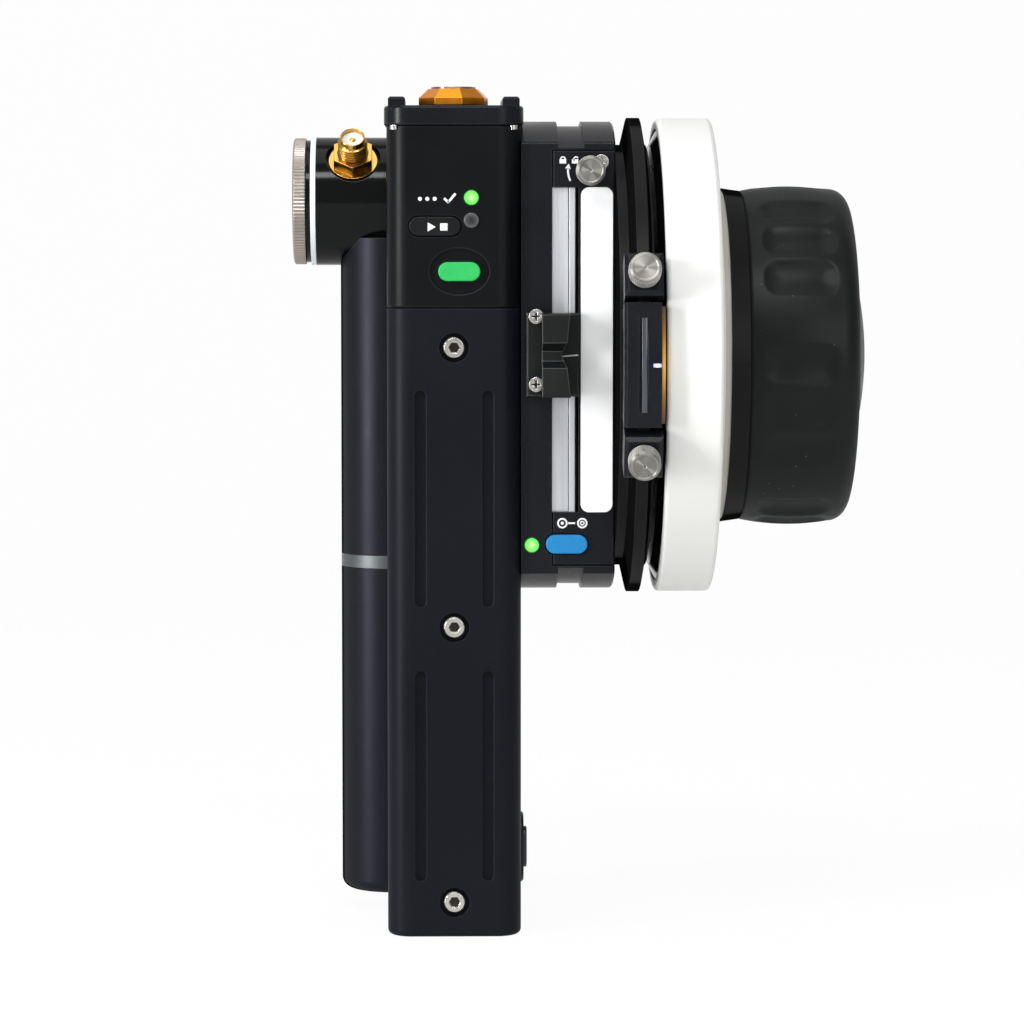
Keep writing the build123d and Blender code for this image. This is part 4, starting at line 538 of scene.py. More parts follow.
def ground_steel(name, socket=None):
    """Ground stainless steel, with a tone for what lies deeper than a place along an axis."""
    return coated(
        name,
        "#B4B1AC",
        "#D6D3CD",
        (0.22, 0.36),
        grain=0.4,
        depth=0.006,
        cloud=2.0,
        edge_tone="#F0EEEA",
        sockets=METAL,
        band=socket,
    )


for node, sunk, code in SOCKET_SHADE:
    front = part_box(node)[0].y
    dress(ground_steel(f"ground stainless steel, {node}", ("Y", front + sunk * MM, code)), node)
dress(
    ground_steel("ground stainless steel"),
    "case_screws",
    "focus_shaft",
    "stop_pin",
    "bearing_outer_races",
    "bearing_inner_races",
)
print("ground steel dressed")

# %% [markdown]
# The rail is aluminium brushed along its length, so its clouds are stretched to long streaks. The tube
# coupling is turned aluminium, left bare.

# %% Bare aluminium
brushed_aluminium = coated(
    "brushed aluminium",
    "#A6AAB3",
    "#FAFBFD",
    (0.42, 0.52),
    grain=0.3,
    depth=0.01,
    cloud=0.9,
    sockets=METAL,
    lines={"pitch": 0.35, "depth": 0.01, "axis": "X"},
    stretch=(1, 1, 0.02),
)
dress(brushed_aluminium, "slider_rail")
turned_aluminium = coated(
    "turned aluminium",
    "#55595B",
    "#6B6E70",
    (0.4, 0.5),
    grain=0.4,
    depth=0.01,
    cloud=8.0,
    sockets=METAL,
    lines={"pitch": 0.4, "depth": 0.008, "axis": "Z"},
)
dress(turned_aluminium, "tube_coupling")
print("bare aluminium dressed")

# %% [markdown]
# ## Plastics and rubber
# The marking disc is white acetal, turned and left satin so that it takes pencil, and the band of its
# hub next to the knob is given a darker grey. The strip is a matt writing film, the seal is white
# silicone, and the insulator of the antenna socket is a fluoroplastic.

# %% White plastics
HUB_WIDTH = 1.3
SILICONE = {"IOR": 1.41}
white_acetal = coated(
    "turned white acetal",
    "#D3D4D2",
    "#DDDEDC",
    (0.38, 0.5),
    grain=0.8,
    depth=0.006,
    cloud=30.0,
    sockets={"IOR": 1.48},
    lines={"pitch": 0.5, "depth": 0.003, "axis": "X"},
    band=("X", disc_high.x - HUB_WIDTH * MM, "#B2AEA6"),
)
dress(white_acetal, "marking_disc")
writing_film = coated(
    "matt white writing film",
    "#F7F8FA",
    "#FDFDFE",
    (0.45, 0.6),
    grain=0.4,
    depth=0.008,
    cloud=18.0,
    sockets={"IOR": 1.49},
)
dress(writing_film, "marking_strip")
white_silicone = coated(
    "white silicone",
    "#DADEE2",
    "#E9ECEF",
    (0.4, 0.55),
    grain=0.3,
    depth=0.02,
    cloud=4.0,
    sockets=SILICONE,
)
dress(white_silicone, "barrel_seal_ring")
fluoroplastic = coated(
    "white fluoroplastic",
    "#E6E2D8",
    "#F2EFE8",
    (0.5, 0.6),
    grain=0.3,
    depth=0.01,
    cloud=2.0,
    sockets={"IOR": 1.38},
)
dress(fluoroplastic, "antenna_insulator")
print("white plastics dressed")

# %% [markdown]
# The slider, the end cap and the run button are black ABS, satin from the mould. The edges of the
# slider show as pale lines, a painted highlight where the lamps catch them.

# %% Black plastics
ABS = {"IOR": 1.53}
black_abs = coated(
    "moulded ABS, black",
    "#0E0F10",
    "#171819",
    (0.3, 0.42),
    grain=0.3,
    depth=0.012,
    cloud=8.0,
    edge_tone="#3A3C3E",
    sockets=ABS,
    glare=(0.14, 0.04),
)
dress(black_abs, "knob_end_cap", "run_button")
# Pale lines on the edges of the slider are a painted highlight.
highlit_edge_abs = coated(
    "moulded ABS, black, painted edge highlights",
    "#0E1010",
    "#171A1A",
    (0.28, 0.38),
    grain=0.3,
    depth=0.012,
    cloud=8.0,
    edge_tone="#7E8482",
    sockets=ABS,
    glare=(0.18, 0.05),
)
dress(highlit_edge_abs, "slider_carriage", "slider_knob")
print("black plastics dressed")

# %% [markdown]
# Buttons are dyed silicone with a soft shine and a dark line round the rim, which is painted shade of
# the gap round each button. The rubber sleeve of the knob holds dust, which a cell pattern scatters as
# pale specks.


# %% Buttons and rubber
def dyed_silicone(name, dark, light, rim):
    """Silicone of a button, with a darker rim of painted shade."""
    return coated(
        name,
        dark,
        light,
        (0.38, 0.5),
        grain=0.25,
        depth=0.01,
        cloud=3.0,
        edge_tone=rim,
        sockets=SILICONE,
    )


# The third colour of each button is its rim of painted shade.
dress(dyed_silicone("dyed silicone, green", "#1FA24C", "#29B65C", "#0C3A1A"), "start_button")
dress(dyed_silicone("dyed silicone, blue", "#0C6EA8", "#127CB6", "#0B2C48"), "lens_button")
navy_rubber = coated(
    "moulded rubber, navy",
    "#0A1620",
    "#12222E",
    (0.3, 0.4),
    grain=0.3,
    depth=0.01,
    cloud=4.0,
    sockets={"IOR": 1.5},
)
dress(navy_rubber, "side_button")
soft_touch = coated(
    "soft touch rubber",
    "#0F1111",
    "#171B1B",
    (0.36, 0.46),
    grain=0.45,
    depth=0.018,
    cloud=9.0,
    sockets={"IOR": 1.5, "Sheen Weight": 0.02, "Sheen Roughness": 0.5},
    dust="#5C6060",
    glare=(0.14, 0.02),
)
dress(soft_touch, "knob_grip")
print("buttons and rubber dressed")

# %% [markdown]
# ## Coloured metals
# The turn knob is aluminium dyed amber: the dye filters the light on its way in and out, so the facets
# go from yellow to deep brown. The antenna socket is brass with a gold plate.

# %% Coloured metals
amber_anodised = coated(
    "amber anodised aluminium",
    "#CA6C10",
    "#F0A030",
    (0.28, 0.38),
    grain=0.5,
    depth=0.004,
    cloud=5.0,
    edge_tone="#F0B050",
    sockets=METAL,
)
dress(amber_anodised, "top_knob")
gold_plate = coated(
    "gold plated brass",
    "#BC8E40",
    "#E0B868",
    (0.16, 0.28),
    grain=0.5,
    depth=0.006,
    cloud=2.5,
    sockets=METAL,
)
dress(gold_plate, "antenna_nut", "antenna_socket")
print("coloured metals dressed")

# %% [markdown]
# ## Signal lights
# A signal light is a small lens with a lamp behind it. It looks brightest in the middle and ends in a
# dark rim, so a spherical falloff about its centre runs through a ramp of colours. A lit lens has a
# strength near 1, at which a colour shows about as written. The unlit lens has no lamp, yet it is
# given a faint painted glow, and its paler ring is a painted reflection.

# %% Lit lenses
LENS_ROUGH = (0.25, 0.37)
LENS_SPECKLE = 0.5


def lit_lens(name, stops, centre, reach, strength):
    """Lens with rings of colour, given from the middle out as shares of a reach in mm by axis."""
    material = new_material(name)
    place = add_node(material, "ShaderNodeTexCoord").outputs["Object"]
    mapped = add_node(
        material,
        "ShaderNodeMapping",
        {"vector_type": "TEXTURE", "Location": centre, "Scale": [size * MM for size in reach]},
        {"Vector": place},
    )
    ball = add_node(
        material,
        "ShaderNodeTexGradient",
        {"gradient_type": "SPHERICAL"},
        {"Vector": mapped.outputs["Vector"]},
    )
    speckle = add_node(
        material, "ShaderNodeTexNoise", {"Scale": per_mm(LENS_SPECKLE), "Detail": 2.0}, {"Vector": place}
    )
    ramp = add_node(material, "ShaderNodeValToRGB", None, {"Fac": ball.outputs["Fac"]})
    marks = ramp.color_ramp.elements
    marks[1].position = 1 - stops[0][0]
    marks[1].color = tone(stops[0][1])
    marks[0].position = 1 - stops[-1][0]
    marks[0].color = tone(stops[-1][1])
    for share, code in stops[1:-1]:
        marks.new(1 - share).color = tone(code)
    glow = ramp.outputs["Color"]
    gloss = add_node(
        material,
        "ShaderNodeMapRange",
        {"From Min": 0.3, "From Max": 0.7, "To Min": LENS_ROUGH[0], "To Max": LENS_ROUGH[1]},
        {"Value": speckle.outputs["Fac"]},
    )
    shader = add_node(
        material,
        "ShaderNodeBsdfPrincipled",
        {"IOR": 1.5, "Emission Strength": strength},
        {"Base Color": glow, "Emission Color": glow, "Roughness": gloss.outputs[0]},
    )
    add_node(material, "ShaderNodeOutputMaterial", None, {"Surface": shader.outputs["BSDF"]})
    return material


print("roughness of lenses", LENS_ROUGH)

# %% [markdown]
# Two lenses are lit green. The third is dark, with a faint painted glow and a paler ring that is a
# painted reflection. The pointer has a violet bar of light in front, and an amber light guide that
# shows as a thin line beside the disc.

# %% Signal lights
LENS_REACH = (1.65, 9.0, 1.65)
MARK_REACH = (1.0, 6.0, 2.0)
GUIDE_REACH = (9.0, 40.0, 12.5)
GREEN_GLOW = 0.75
UNLIT_PAINTED_GLOW = 0.04
MARK_GLOW = 1.3
GUIDE_GLOW = 0.32
GREEN_STOPS = (
    (0.0, "#A2FF80"),
    (0.5, "#6CF658"),
    (0.78, "#44CF40"),
    (0.92, "#15561B"),
    (1.0, "#081A0A"),
)
# The paler ring of the unlit lens is a painted reflection, and its faint glow is painted light.
SMOKED_REFLECTION_STOPS = ((0.0, "#17191B"), (0.45, "#2A2C2F"), (0.8, "#4A4C4E"), (1.0, "#1B1C1E"))
MARK_STOPS = ((0.0, "#ECE4FF"), (0.4, "#A8A8FF"), (1.0, "#2B39E8"))
GUIDE_STOPS = ((0.0, "#CFA24C"), (0.5, "#805A1C"), (1.0, "#1A1005"))
for light in ("ready_light", "lens_light"):
    green_lens = lit_lens(f"lit green lens, {light}", GREEN_STOPS, middle(light), LENS_REACH, GREEN_GLOW)
    dress(green_lens, light)
smoked_lens = lit_lens("unlit smoked lens, painted glow and reflection", SMOKED_REFLECTION_STOPS, middle("run_light"), LENS_REACH, UNLIT_PAINTED_GLOW)
dress(smoked_lens, "run_light")
bar_middle = middle("index_mark_light")
index_bar = lit_lens("lit index bar", MARK_STOPS, bar_middle, MARK_REACH, MARK_GLOW)
dress(index_bar, "index_mark_light")
guide_middle = middle("index_light_guide")
light_guide = lit_lens("amber light guide", GUIDE_STOPS, guide_middle, GUIDE_REACH, GUIDE_GLOW)
dress(light_guide, "index_light_guide")
print("lights dressed")

# %% [markdown]
# ## Pieces inside
# Boards, the encoder and the cells sit behind walls, and show only if somebody opens the model. They
# still get true finishes: solder mask over copper tracks, a plated steel case, a shrink sleeve. The
# board behind the slider shows through its slit, and is black for that reason.

# %% Inside pieces
solder_mask = coated(
    "green solder mask",
    "#0B3D22",
    "#14562F",
    (0.3, 0.45),
    grain=0.5,
    depth=0.02,
    cloud=3.0,
    sockets={"IOR": 1.55},
    lines={"pitch": 1.2, "depth": 0.03, "axis": "Z"},
)
dress(solder_mask, "main_board", "control_board", "sensor_board", "radio_board")
black_mask = coated(
    "black solder mask",
    "#0A0B0B",
    "#121414",
    (0.4, 0.5),
    grain=0.5,
    depth=0.02,
    cloud=3.0,
    sockets={"IOR": 1.55},
)
dress(black_mask, "slider_board")
plated_case = coated(
    "nickel plated steel",
    "#8E8C86",
    "#B4B1AA",
    (0.25, 0.4),
    grain=0.4,
    depth=0.01,
    cloud=4.0,
    sockets=METAL,
)
dress(plated_case, "menu_encoder", "encoder_magnet")
shrink_sleeve = coated(
    "shrink sleeve, blue",
    "#1B3F78",
    "#24508F",
    (0.25, 0.4),
    grain=1.0,
    depth=0.02,
    cloud=12.0,
    sockets={"IOR": 1.53},
)
dress(shrink_sleeve, "battery_cells")
print("inside pieces dressed")

# %% [markdown]
# ## Making a piece
# The pieces that follow are drawn as a bmesh, a mesh that is open for editing. When one is done, its
# doubled points are merged, its faces are turned outwards, and it is tied to the body that carries it.
# Corners sharper than an angle stay crisp, and everything flatter is shaded smooth.

# %% Piece helper
MERGE_WITHIN = 0.002


def make_piece(form, name, material, body, crisp=40.0):
    """Turns a bmesh into a piece that rides on a body and takes its finish from a slot."""
    bmesh.ops.remove_doubles(form, verts=form.verts, dist=MERGE_WITHIN * MM)
    bmesh.ops.recalc_face_normals(form, faces=form.faces)
    for face in form.faces:
        face.smooth = True
    mesh = bpy.data.meshes.new(name)
    form.to_mesh(mesh)
    form.free()
    mesh.set_sharp_from_angle(angle=math.radians(crisp))
    mesh.materials.append(material)
    piece = bpy.data.objects.new(name, mesh)
    scene.collection.objects.link(piece)
    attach(piece, body)
    print(name, "faces", len(mesh.polygons))
    return piece


def chain(form, last, points):
    """Draws edges from a vertex through points and gives the last vertex."""
    for point in points:
        new = form.verts.new(point)
        form.edges.new((last, new))
        last = new
    return last


print("points merge within mm", MERGE_WITHIN)

# %% [markdown]
# ## Soft knob grip
# The rubber sleeve of the focus knob was moulded with groups of three finger dents, each a shallow
# scoop with a soft rim. Cutters would leave hard rims, so the sleeve is spun from its outline as a fine
# net, and the points inside each dent are pushed in with a smooth fall, as a sculpting brush does.

# %% Knob grip
grip_low, grip_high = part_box("knob_grip")
GRIP_LEFT = grip_low.x / MM
GRIP_RIGHT = grip_high.x / MM
CORNER_ROUND = 4.0
SKIN_END = GRIP_RIGHT - CORNER_ROUND
SKIN_START_RADIUS = 34.4
SKIN_END_RADIUS = 34.8
CROWN = 3.6
SEAM = 0.35
SLEEVE_BORE = 31.0
LIP_BORE = (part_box("knob_end_cap")[1].z - FOCUS_AXIS.z) / MM
LIP_DEPTH = 1.5
SKIN_CUTS = 44
CORNER_STEPS = 10
ROUND_STEPS = 360


def front_of_axis(x, radius):
    """Point in front of the focus axis, from mm along it and mm away from it."""
    return Vector((x * MM, FOCUS_AXIS.y - radius * MM, FOCUS_AXIS.z))


form = bmesh.new()
skin_start = form.verts.new(front_of_axis(GRIP_LEFT + SEAM, SKIN_START_RADIUS))
chain(form, skin_start, [front_of_axis(SKIN_END, SKIN_END_RADIUS)])
bmesh.ops.subdivide_edges(form, edges=form.edges, cuts=SKIN_CUTS)
skin_start = min(form.verts, key=lambda vert: vert.co.x)
skin_end = max(form.verts, key=lambda vert: vert.co.x)
for vert in form.verts:
    share = (vert.co.x / MM - GRIP_LEFT) / (SKIN_END - GRIP_LEFT)
    vert.co.y -= CROWN * share * (1 - share) * MM
corner_centre = front_of_axis(SKIN_END, SKIN_END_RADIUS - CORNER_ROUND)
turned = bmesh.ops.spin(
    form,
    geom=[skin_end],
    cent=corner_centre,
    axis=(0, 0, 1),
    angle=math.radians(90),
    steps=CORNER_STEPS,
)
face_edge = turned["geom_last"][0]
outline = (
    (GRIP_RIGHT, LIP_BORE),
    (GRIP_RIGHT - LIP_DEPTH, LIP_BORE),
    (GRIP_RIGHT - LIP_DEPTH, SLEEVE_BORE),
    (GRIP_LEFT, SLEEVE_BORE),
    (GRIP_LEFT, SKIN_START_RADIUS - SEAM),
)
last = chain(form, face_edge, [front_of_axis(*point) for point in outline])
form.edges.new((last, skin_start))
bmesh.ops.spin(
    form,
    geom=form.verts[:] + form.edges[:],
    cent=FOCUS_AXIS,
    axis=(1, 0, 0),
    angle=math.radians(360),
    steps=ROUND_STEPS,
    use_merge=True,
)
print("sleeve points", len(form.verts))

# %% [markdown]
# A dent is a rounded rectangle on the unrolled skin. The distance to its rim says how far a point goes
# in: not at all outside, quickly just inside the rim, and then in a gentle scoop down to the middle.
# Dents sit 15 degrees apart, and every fourth place is left smooth.

# %% Finger dents
DENT_LENGTH = 15.4
DENT_WIDTH = 8.4
DENT_CORNER = 3.3
DENT_DEPTH = 1.05
DENT_RIM = 0.6
DENT_MIDDLE = GRIP_LEFT + 10.45
DENT_DROP = 1.5
DENT_PITCH = 15.0
DENT_GROUP = 4
SMOOTH_PLACE = 1
# Points further in or further right than this are not on the skin
SKIN_LOWEST = SKIN_START_RADIUS - 0.3
SKIN_RIGHT = SKIN_END + 0.5


def dent_depth(along, across):
    """How far a point of the skin is pushed in, in mm, from its place in a dent."""
    out_x = abs(along) - (DENT_LENGTH / 2 - DENT_CORNER)
    out_y = abs(across) - (DENT_WIDTH / 2 - DENT_CORNER)
    rim = math.hypot(max(out_x, 0), max(out_y, 0)) + min(max(out_x, out_y), 0) - DENT_CORNER
    inside = max(-rim, 0)
    start = min(inside / DENT_RIM, 1)
    scoop = 1 - (1 - min(2 * inside / DENT_WIDTH, 1)) ** 2
    return DENT_DEPTH * scoop * start * start * (3 - 2 * start)


moved = 0
for vert in form.verts:
    arm = Vector((0.0, vert.co.y - FOCUS_AXIS.y, vert.co.z - FOCUS_AXIS.z))
    if arm.length < SKIN_LOWEST * MM or vert.co.x > SKIN_RIGHT * MM:
        continue
    angle = math.degrees(math.atan2(arm.z, -arm.y)) + DENT_DROP
    place = round(angle / DENT_PITCH)
    if place % DENT_GROUP == SMOOTH_PLACE:
        continue
    across = math.radians(angle - place * DENT_PITCH) * arm.length / MM
    depth = dent_depth(vert.co.x / MM - DENT_MIDDLE, across)
    if depth > 0:
        vert.co -= arm.normalized() * depth * MM
        moved += 1
knob_sleeve = make_piece(form, "knob_grip_soft", soft_touch, "focus_knob")
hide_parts("knob_grip")
print("points in dents", moved)

# %% [markdown]
# ## Threaded antenna socket
# A coaxial socket is turned from brass and has a quarter inch thread with 36 turns to the inch. The
# spin tool carries the section of one ridge round the body while it climbs, and its two ends are
# closed. The plain body is spun on its own, and both are then tipped to the slant of the socket.

# %% Antenna socket
SOCKET_FOOT = Vector((-21.1, 28.0, 151.4)) * MM
SOCKET_SLANT = math.radians(47.5)
THREAD_PITCH = 25.4 / 36
THREAD_LOW = 12.4
THREAD_TURNS = 8
TURN_STEPS = 32
BODY_STEPS = 64
NEAR_AXIS = 2.0
# Corners as radius and height in mm. The ridge starts at THREAD_LOW, and the body at the foot
RIDGE = ((2.5, 0.02), (3.14, 0.3), (3.14, 0.4), (2.5, 0.68))
BODY_OUTLINE = (
    (0.0, 8.2),
    (4.5, 8.2),
    (4.5, 9.5),
    (3.0, 9.5),
    (3.0, 12.3),
    (2.6, 12.3),
    (2.6, 19.7),
    (2.5, 19.8),
    (2.4, 19.8),
    (2.3, 19.7),
    (2.3, 15.6),
    (0.65, 15.6),
    (0.65, 18.9),
    (0.4, 19.2),
    (0.0, 19.2),
)

form = bmesh.new()
points = [Vector((radius, 0.0, height)) * MM for radius, height in BODY_OUTLINE]
chain(form, form.verts.new(points[0]), points[1:])
bmesh.ops.spin(
    form,
    geom=form.verts[:] + form.edges[:],
    cent=(0, 0, 0),
    axis=(0, 0, 1),
    angle=math.radians(360),
    steps=BODY_STEPS,
    use_merge=True,
)
body_points = set(form.verts)
points = [Vector((radius, 0.0, THREAD_LOW + height)) * MM for radius, height in RIDGE]
foot = form.verts.new(points[0])
form.edges.new((chain(form, foot, points[1:]), foot))
ridge = [vert for vert in form.verts if vert not in body_points]
bmesh.ops.spin(
    form,
    geom=ridge + [edge for edge in form.edges if edge.verts[0] in ridge],
    cent=(0, 0, 0),
    axis=(0, 0, 1),
    dvec=(0, 0, THREAD_PITCH * MM / TURN_STEPS),
    angle=math.radians(360) * THREAD_TURNS,
    steps=TURN_STEPS * THREAD_TURNS,
)
# The body is open only at the axis, so open edges further out are the ends of the ridge
rims = [edge for edge in form.edges if edge.is_boundary]
ends = [edge for edge in rims if min(vert.co.xy.length for vert in edge.verts) > NEAR_AXIS * MM]
bmesh.ops.holes_fill(form, edges=ends, sides=4)
bmesh.ops.transform(
    form,
    matrix=Matrix.Translation(SOCKET_FOOT) @ Matrix.Rotation(SOCKET_SLANT, 4, "X"),
    verts=form.verts,
)
socket = make_piece(form, "antenna_socket_threaded", gold_plate, "body", crisp=30.0)
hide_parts("antenna_socket")

# %% [markdown]
# ## Printed marks
# Small white signs beside the buttons and the lock are screen printed: a film of ink 0.03 mm thick on
# the finished part. Each sign is drawn flat from arcs, bars and dots, given its thickness, and stood
# up on the front face that carries it. An arc is a short spoke that is spun about the sign's middle.

# %% Ink
INK = 0.03
white_ink = coated(
    "screen printed ink, white",
    "#DADCDE",
    "#ECEDEE",
    (0.45, 0.6),
    grain=0.2,
    depth=0.006,
    cloud=1.0,
    sockets={"IOR": 1.5},
)
print("ink thickness mm", INK)

# %% [markdown]
# The drawing tools work in the plane of the sign, in millimetres from its middle and in degrees.

# %% Drawing tools
ARC_STEPS = 32


def flat_place(centre, turn=0.0):
    """Moves a flat shape to a centre, turned about it."""
    return Matrix.Translation(Vector((*centre, 0.0)) * MM) @ Matrix.Rotation(math.radians(turn), 4, "Z")


def ink_arc(form, centre, inner, outer, start=0.0, sweep=360.0):
    """Flat band about a centre in mm, from a start angle over a sweep in degrees."""
    hub = Vector((*centre, 0.0)) * MM
    spoke = Vector((math.cos(math.radians(start)), math.sin(math.radians(start)), 0.0)) * MM
    near = form.verts.new(hub + spoke * inner)
    far = form.verts.new(hub + spoke * outer)
    bmesh.ops.spin(
        form,
        geom=[near, far, form.edges.new((near, far))],
        cent=hub,
        axis=(0, 0, 1),
        angle=math.radians(sweep),
        steps=ARC_STEPS,
        use_merge=sweep == 360.0,
    )


def ink_bar(form, centre, width, height, turn=0.0):
    """Flat bar about a centre."""
    place = flat_place(centre, turn) @ Matrix.Diagonal((width * MM, height * MM, 1.0, 1.0))
    bmesh.ops.create_grid(form, x_segments=1, y_segments=1, size=0.5, matrix=place)


def ink_dot(form, centre, radius, sides=24, turn=0.0):
    """Flat dot, or with three sides a triangle, about a centre."""
    place = flat_place(centre, turn)
    bmesh.ops.create_circle(form, cap_ends=True, segments=sides, radius=radius * MM, matrix=place)


def print_mark(form, name, place, front, body):
    """Gives a flat sign its thickness and lays it on a front face, at a place across and up in mm."""
    grown = bmesh.ops.extrude_face_region(form, geom=form.faces[:])["geom"]
    raised = [vert for vert in grown if isinstance(vert, bmesh.types.BMVert)]
    bmesh.ops.translate(form, verts=raised, vec=(0, 0, INK * MM))
    origin = Vector((place[0], front, place[1])) * MM
    stand = Matrix.Translation(origin) @ Matrix.Rotation(math.radians(90), 4, "X")
    bmesh.ops.transform(form, matrix=stand, verts=form.verts)
    return make_piece(form, name, white_ink, body)


# %% [markdown]
# The signs of the head are plain: a tick after three dots for ready, and a triangle and a square for
# run and stop. The second is printed on the button, so it rides on it.

# %% Signs of the head
BOLD = 0.5
READY_PLACE = (-3.3, 151.75)
RUN_PLACE = (-3.5, 145.95)
head_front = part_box("head_housing")[0].y / MM
button_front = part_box("run_button")[0].y / MM
form = bmesh.new()
for step in range(3):
    ink_dot(form, (-3.6 + 1.5 * step, -0.1), 0.42)
ink_bar(form, (1.75, -0.42), 1.3, BOLD, -45)
ink_bar(form, (2.85, 0.05), 2.4, BOLD, 50)
print_mark(form, "sign_ready", READY_PLACE, head_front, "body")
form = bmesh.new()
ink_dot(form, (-1.3, 0.0), 1.1, 3, -90)
ink_bar(form, (1.45, 0.0), 1.5, 1.5)
print_mark(form, "sign_run", RUN_PLACE, button_front, "run_push")

# %% [markdown]
# The panel has rings for the lens, and a closed and an open padlock beside the curved arrow of the lock
# knob. A thin line on the slider says where it stands.

# %% Signs of the panel
FINE = 0.36
LENS_PLACE = (24.4, 85.3)
LOCK_PLACE = (23.5, 159.7)
LINE_PLACE = (23.65, 119.7)
LEFT_RING = (-2.2, 0.0)
RIGHT_RING = (1.9, 0.0)
panel_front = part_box("slider_plate")[0].y / MM
carriage_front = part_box("slider_carriage")[0].y / MM
lock_middle = middle("lock_knob") / MM
form = bmesh.new()
ink_arc(form, LEFT_RING, 0.72, 0.72 + FINE)
ink_dot(form, LEFT_RING, 0.34)
ink_bar(form, (-0.3, 0.0), 1.5, FINE)
ink_arc(form, RIGHT_RING, 0.72, 0.72 + FINE)
ink_arc(form, RIGHT_RING, 0.22, 0.5)
print_mark(form, "sign_lens", LENS_PLACE, panel_front, "body")
form = bmesh.new()
for left, lean, shift in ((-1.25, 0.0, 0.0), (1.25, 35.0, 0.2)):
    ink_bar(form, (left, -0.4), 1.35, 0.9)
    ink_arc(form, (left + shift, 0.03), 0.34, 0.6, lean, 180.0)
print_mark(form, "sign_lock", LOCK_PLACE, panel_front, "body")
form = bmesh.new()
ink_arc(form, (0.0, 0.0), 4.3, 4.7, 173.0, 34.0)
ink_dot(form, (-4.46, 0.75), 0.7, 3, -10)
print_mark(form, "sign_arrow", (lock_middle.x, lock_middle.z), panel_front, "body")
form = bmesh.new()
ink_bar(form, (0.0, 0.0), 3.4, 0.3, 5.0)
print_mark(form, "slider_index_line", LINE_PLACE, carriage_front, "iris_slider")

# %% [markdown]
# ## Pointer window
# A grey strip lies in the slot of the pointer and leaves a dark gap on its left. Its grey is a painted
# reflection of the slot's floor. It is a bar with broken edges, a cube that is stretched and bevelled.

# %% Pointer window
WINDOW_X = 37.4
WINDOW_SUNK = 0.7
WINDOW_SIZE = (1.1, 0.9, 18.8)
WINDOW_EDGE = 0.12
# The grey of this strip is a painted reflection.
reflection_grey_strip = coated(
    "grey strip, painted reflection",
    "#2A2E33",
    "#454A50",
    (0.14, 0.22),
    grain=0.5,
    depth=0.004,
    cloud=9.0,
    sockets={"IOR": 1.49},
)
pointer_low, pointer_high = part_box("index_block")
form = bmesh.new()
window_height = (pointer_low.z + pointer_high.z) / 2
place = Vector((WINDOW_X * MM, pointer_low.y + WINDOW_SUNK * MM, window_height))
size = Matrix.Diagonal((*(side * MM for side in WINDOW_SIZE), 1.0))
bmesh.ops.create_cube(form, size=1.0, matrix=Matrix.Translation(place) @ size)
bmesh.ops.bevel(
    form,
    geom=form.edges[:],
    offset=WINDOW_EDGE * MM,
    segments=2,
    profile=0.5,
    affect="EDGES",
    material=-1,
)
make_piece(form, "pointer_window", reflection_grey_strip, "body")

# %% [markdown]
# ## Floor and backdrop
# The unit stands on white paper that curves up behind it. Paper lit like the unit would come out pale
# grey, so for camera, mirror and glass rays it mostly glows white, and for other rays it is plain paper.
# It is not all glow: the small part that is paper keeps a faint shadow.

# %% White paper
PAPER_GLOW = 0.95
paper = new_material("white paper")
rays = add_node(paper, "ShaderNodeLightPath")
seen = add_node(
    paper,
    "ShaderNodeMath",
    {"operation": "MAXIMUM"},
    {0: rays.outputs["Is Camera Ray"], 1: rays.outputs["Is Glossy Ray"]},
)
seen = add_node(
    paper,
    "ShaderNodeMath",
    {"operation": "MAXIMUM"},
    {0: seen.outputs[0], 1: rays.outputs["Is Transmission Ray"]},
)
share = add_node(paper, "ShaderNodeMath", {"operation": "MULTIPLY", 1: PAPER_GLOW}, {0: seen.outputs[0]})
matt = add_node(paper, "ShaderNodeBsdfDiffuse", {"Color": tone("#F4F4F2")})
glow = add_node(paper, "ShaderNodeEmission", {"Color": tone("#FFFFFF"), "Strength": 1.0})
mixed = add_node(
    paper,
    "ShaderNodeMixShader",
    None,
    {0: share.outputs[0], 1: matt.outputs[0], 2: glow.outputs[0]},
)
add_node(paper, "ShaderNodeOutputMaterial", None, {"Surface": mixed.outputs[0]})
print("share of glow", PAPER_GLOW)

# %% [markdown]
# The sheet is an edge that is drawn out twice, back and then up. A wide bevel rounds its fold.

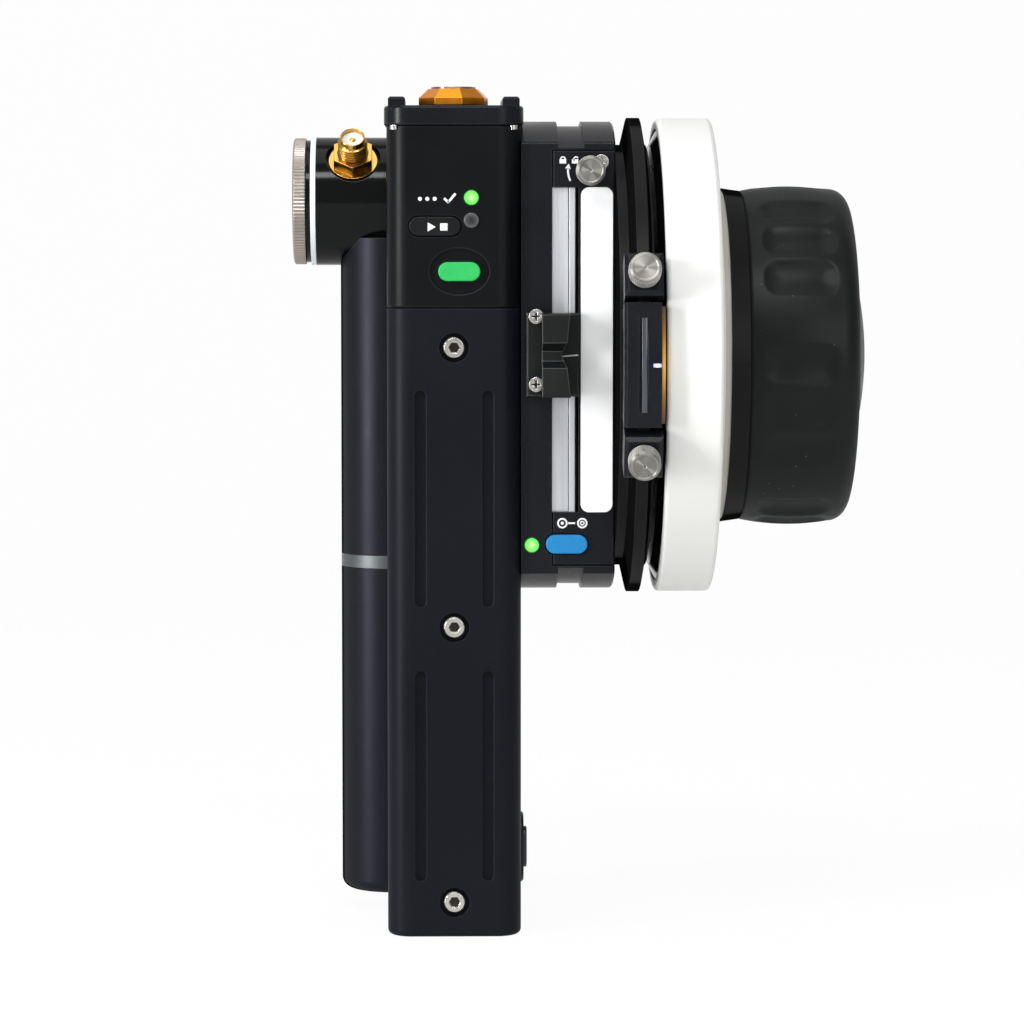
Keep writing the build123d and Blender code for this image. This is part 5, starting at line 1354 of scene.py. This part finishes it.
# %% Paper sweep
SHEET_HALF = 2.5
SHEET_FRONT = -2.5
SHEET_STEPS = ((0.0, 4.0, 0.0), (0.0, 0.0, 2.5))
SHEET_CURVE = 0.8
sweep_mesh = bpy.data.meshes.new("paper_sweep")
form = bmesh.new()
front_left = form.verts.new((-SHEET_HALF, SHEET_FRONT, 0.0))
front_right = form.verts.new((SHEET_HALF, SHEET_FRONT, 0.0))
edge = form.edges.new((front_left, front_right))
for step in SHEET_STEPS:
    grown = bmesh.ops.extrude_edge_only(form, edges=[edge])["geom"]
    far_ends = [part for part in grown if isinstance(part, bmesh.types.BMVert)]
    bmesh.ops.translate(form, verts=far_ends, vec=step)
    edge = form.edges.get(far_ends)
fold = [edge for edge in form.edges if len(edge.link_faces) == 2]
bmesh.ops.bevel(
    form,
    geom=fold,
    offset=SHEET_CURVE,
    segments=16,
    profile=0.5,
    affect="EDGES",
    material=-1,
)
bmesh.ops.recalc_face_normals(form, faces=form.faces)
for face in form.faces:
    face.smooth = True
form.to_mesh(sweep_mesh)
form.free()
sweep = bpy.data.objects.new("paper_sweep", sweep_mesh)
scene.collection.objects.link(sweep)
sweep_mesh.materials.append(paper)
print("sweep faces", len(sweep_mesh.polygons))

# %% [markdown]
# ## Lamps
# Highlights tell where the lamps stood: the upright tube shines at a third of its width and the barrel
# above its middle, so one tall softbox stands on the left and a flat one hangs in front above. Another
# hangs straight above and lights what faces up. A weak lamp fills the right, and a grey room gives the
# rest.

# %% Lamps
LAMP_TARGET = Vector((0.02, 0.0, 0.1))
ROOM_LIGHT = 0.38


def softbox(name, place, width, height, watts):
    """Lamp that faces the unit, with its place and size in metres."""
    lamp = bpy.data.lights.new(name, "AREA")
    lamp.shape = "RECTANGLE"
    lamp.size = width
    lamp.size_y = height
    lamp.energy = watts
    holder = bpy.data.objects.new(name, lamp)
    scene.collection.objects.link(holder)
    holder.location = Vector(place)
    holder.rotation_euler = (LAMP_TARGET - holder.location).to_track_quat("-Z", "Y").to_euler()


softbox("softbox_above", (-0.2, -0.75, 1.05), 0.9, 0.2, 8.4)
softbox("softbox_left", (-1.04, -0.62, 0.31), 0.16, 0.62, 13.5)
softbox("softbox_right", (0.5, -1.1, 0.45), 0.5, 0.5, 2.5)
softbox("softbox_top", (0.0, 0.05, 0.95), 0.5, 0.5, 1.25)
world = bpy.data.worlds.new("grey_room")
scene.world = world
world.use_nodes = True
room = world.node_tree.nodes["Background"]
room.inputs["Color"].default_value = tone("#FFFFFF")
room.inputs["Strength"].default_value = ROOM_LIGHT
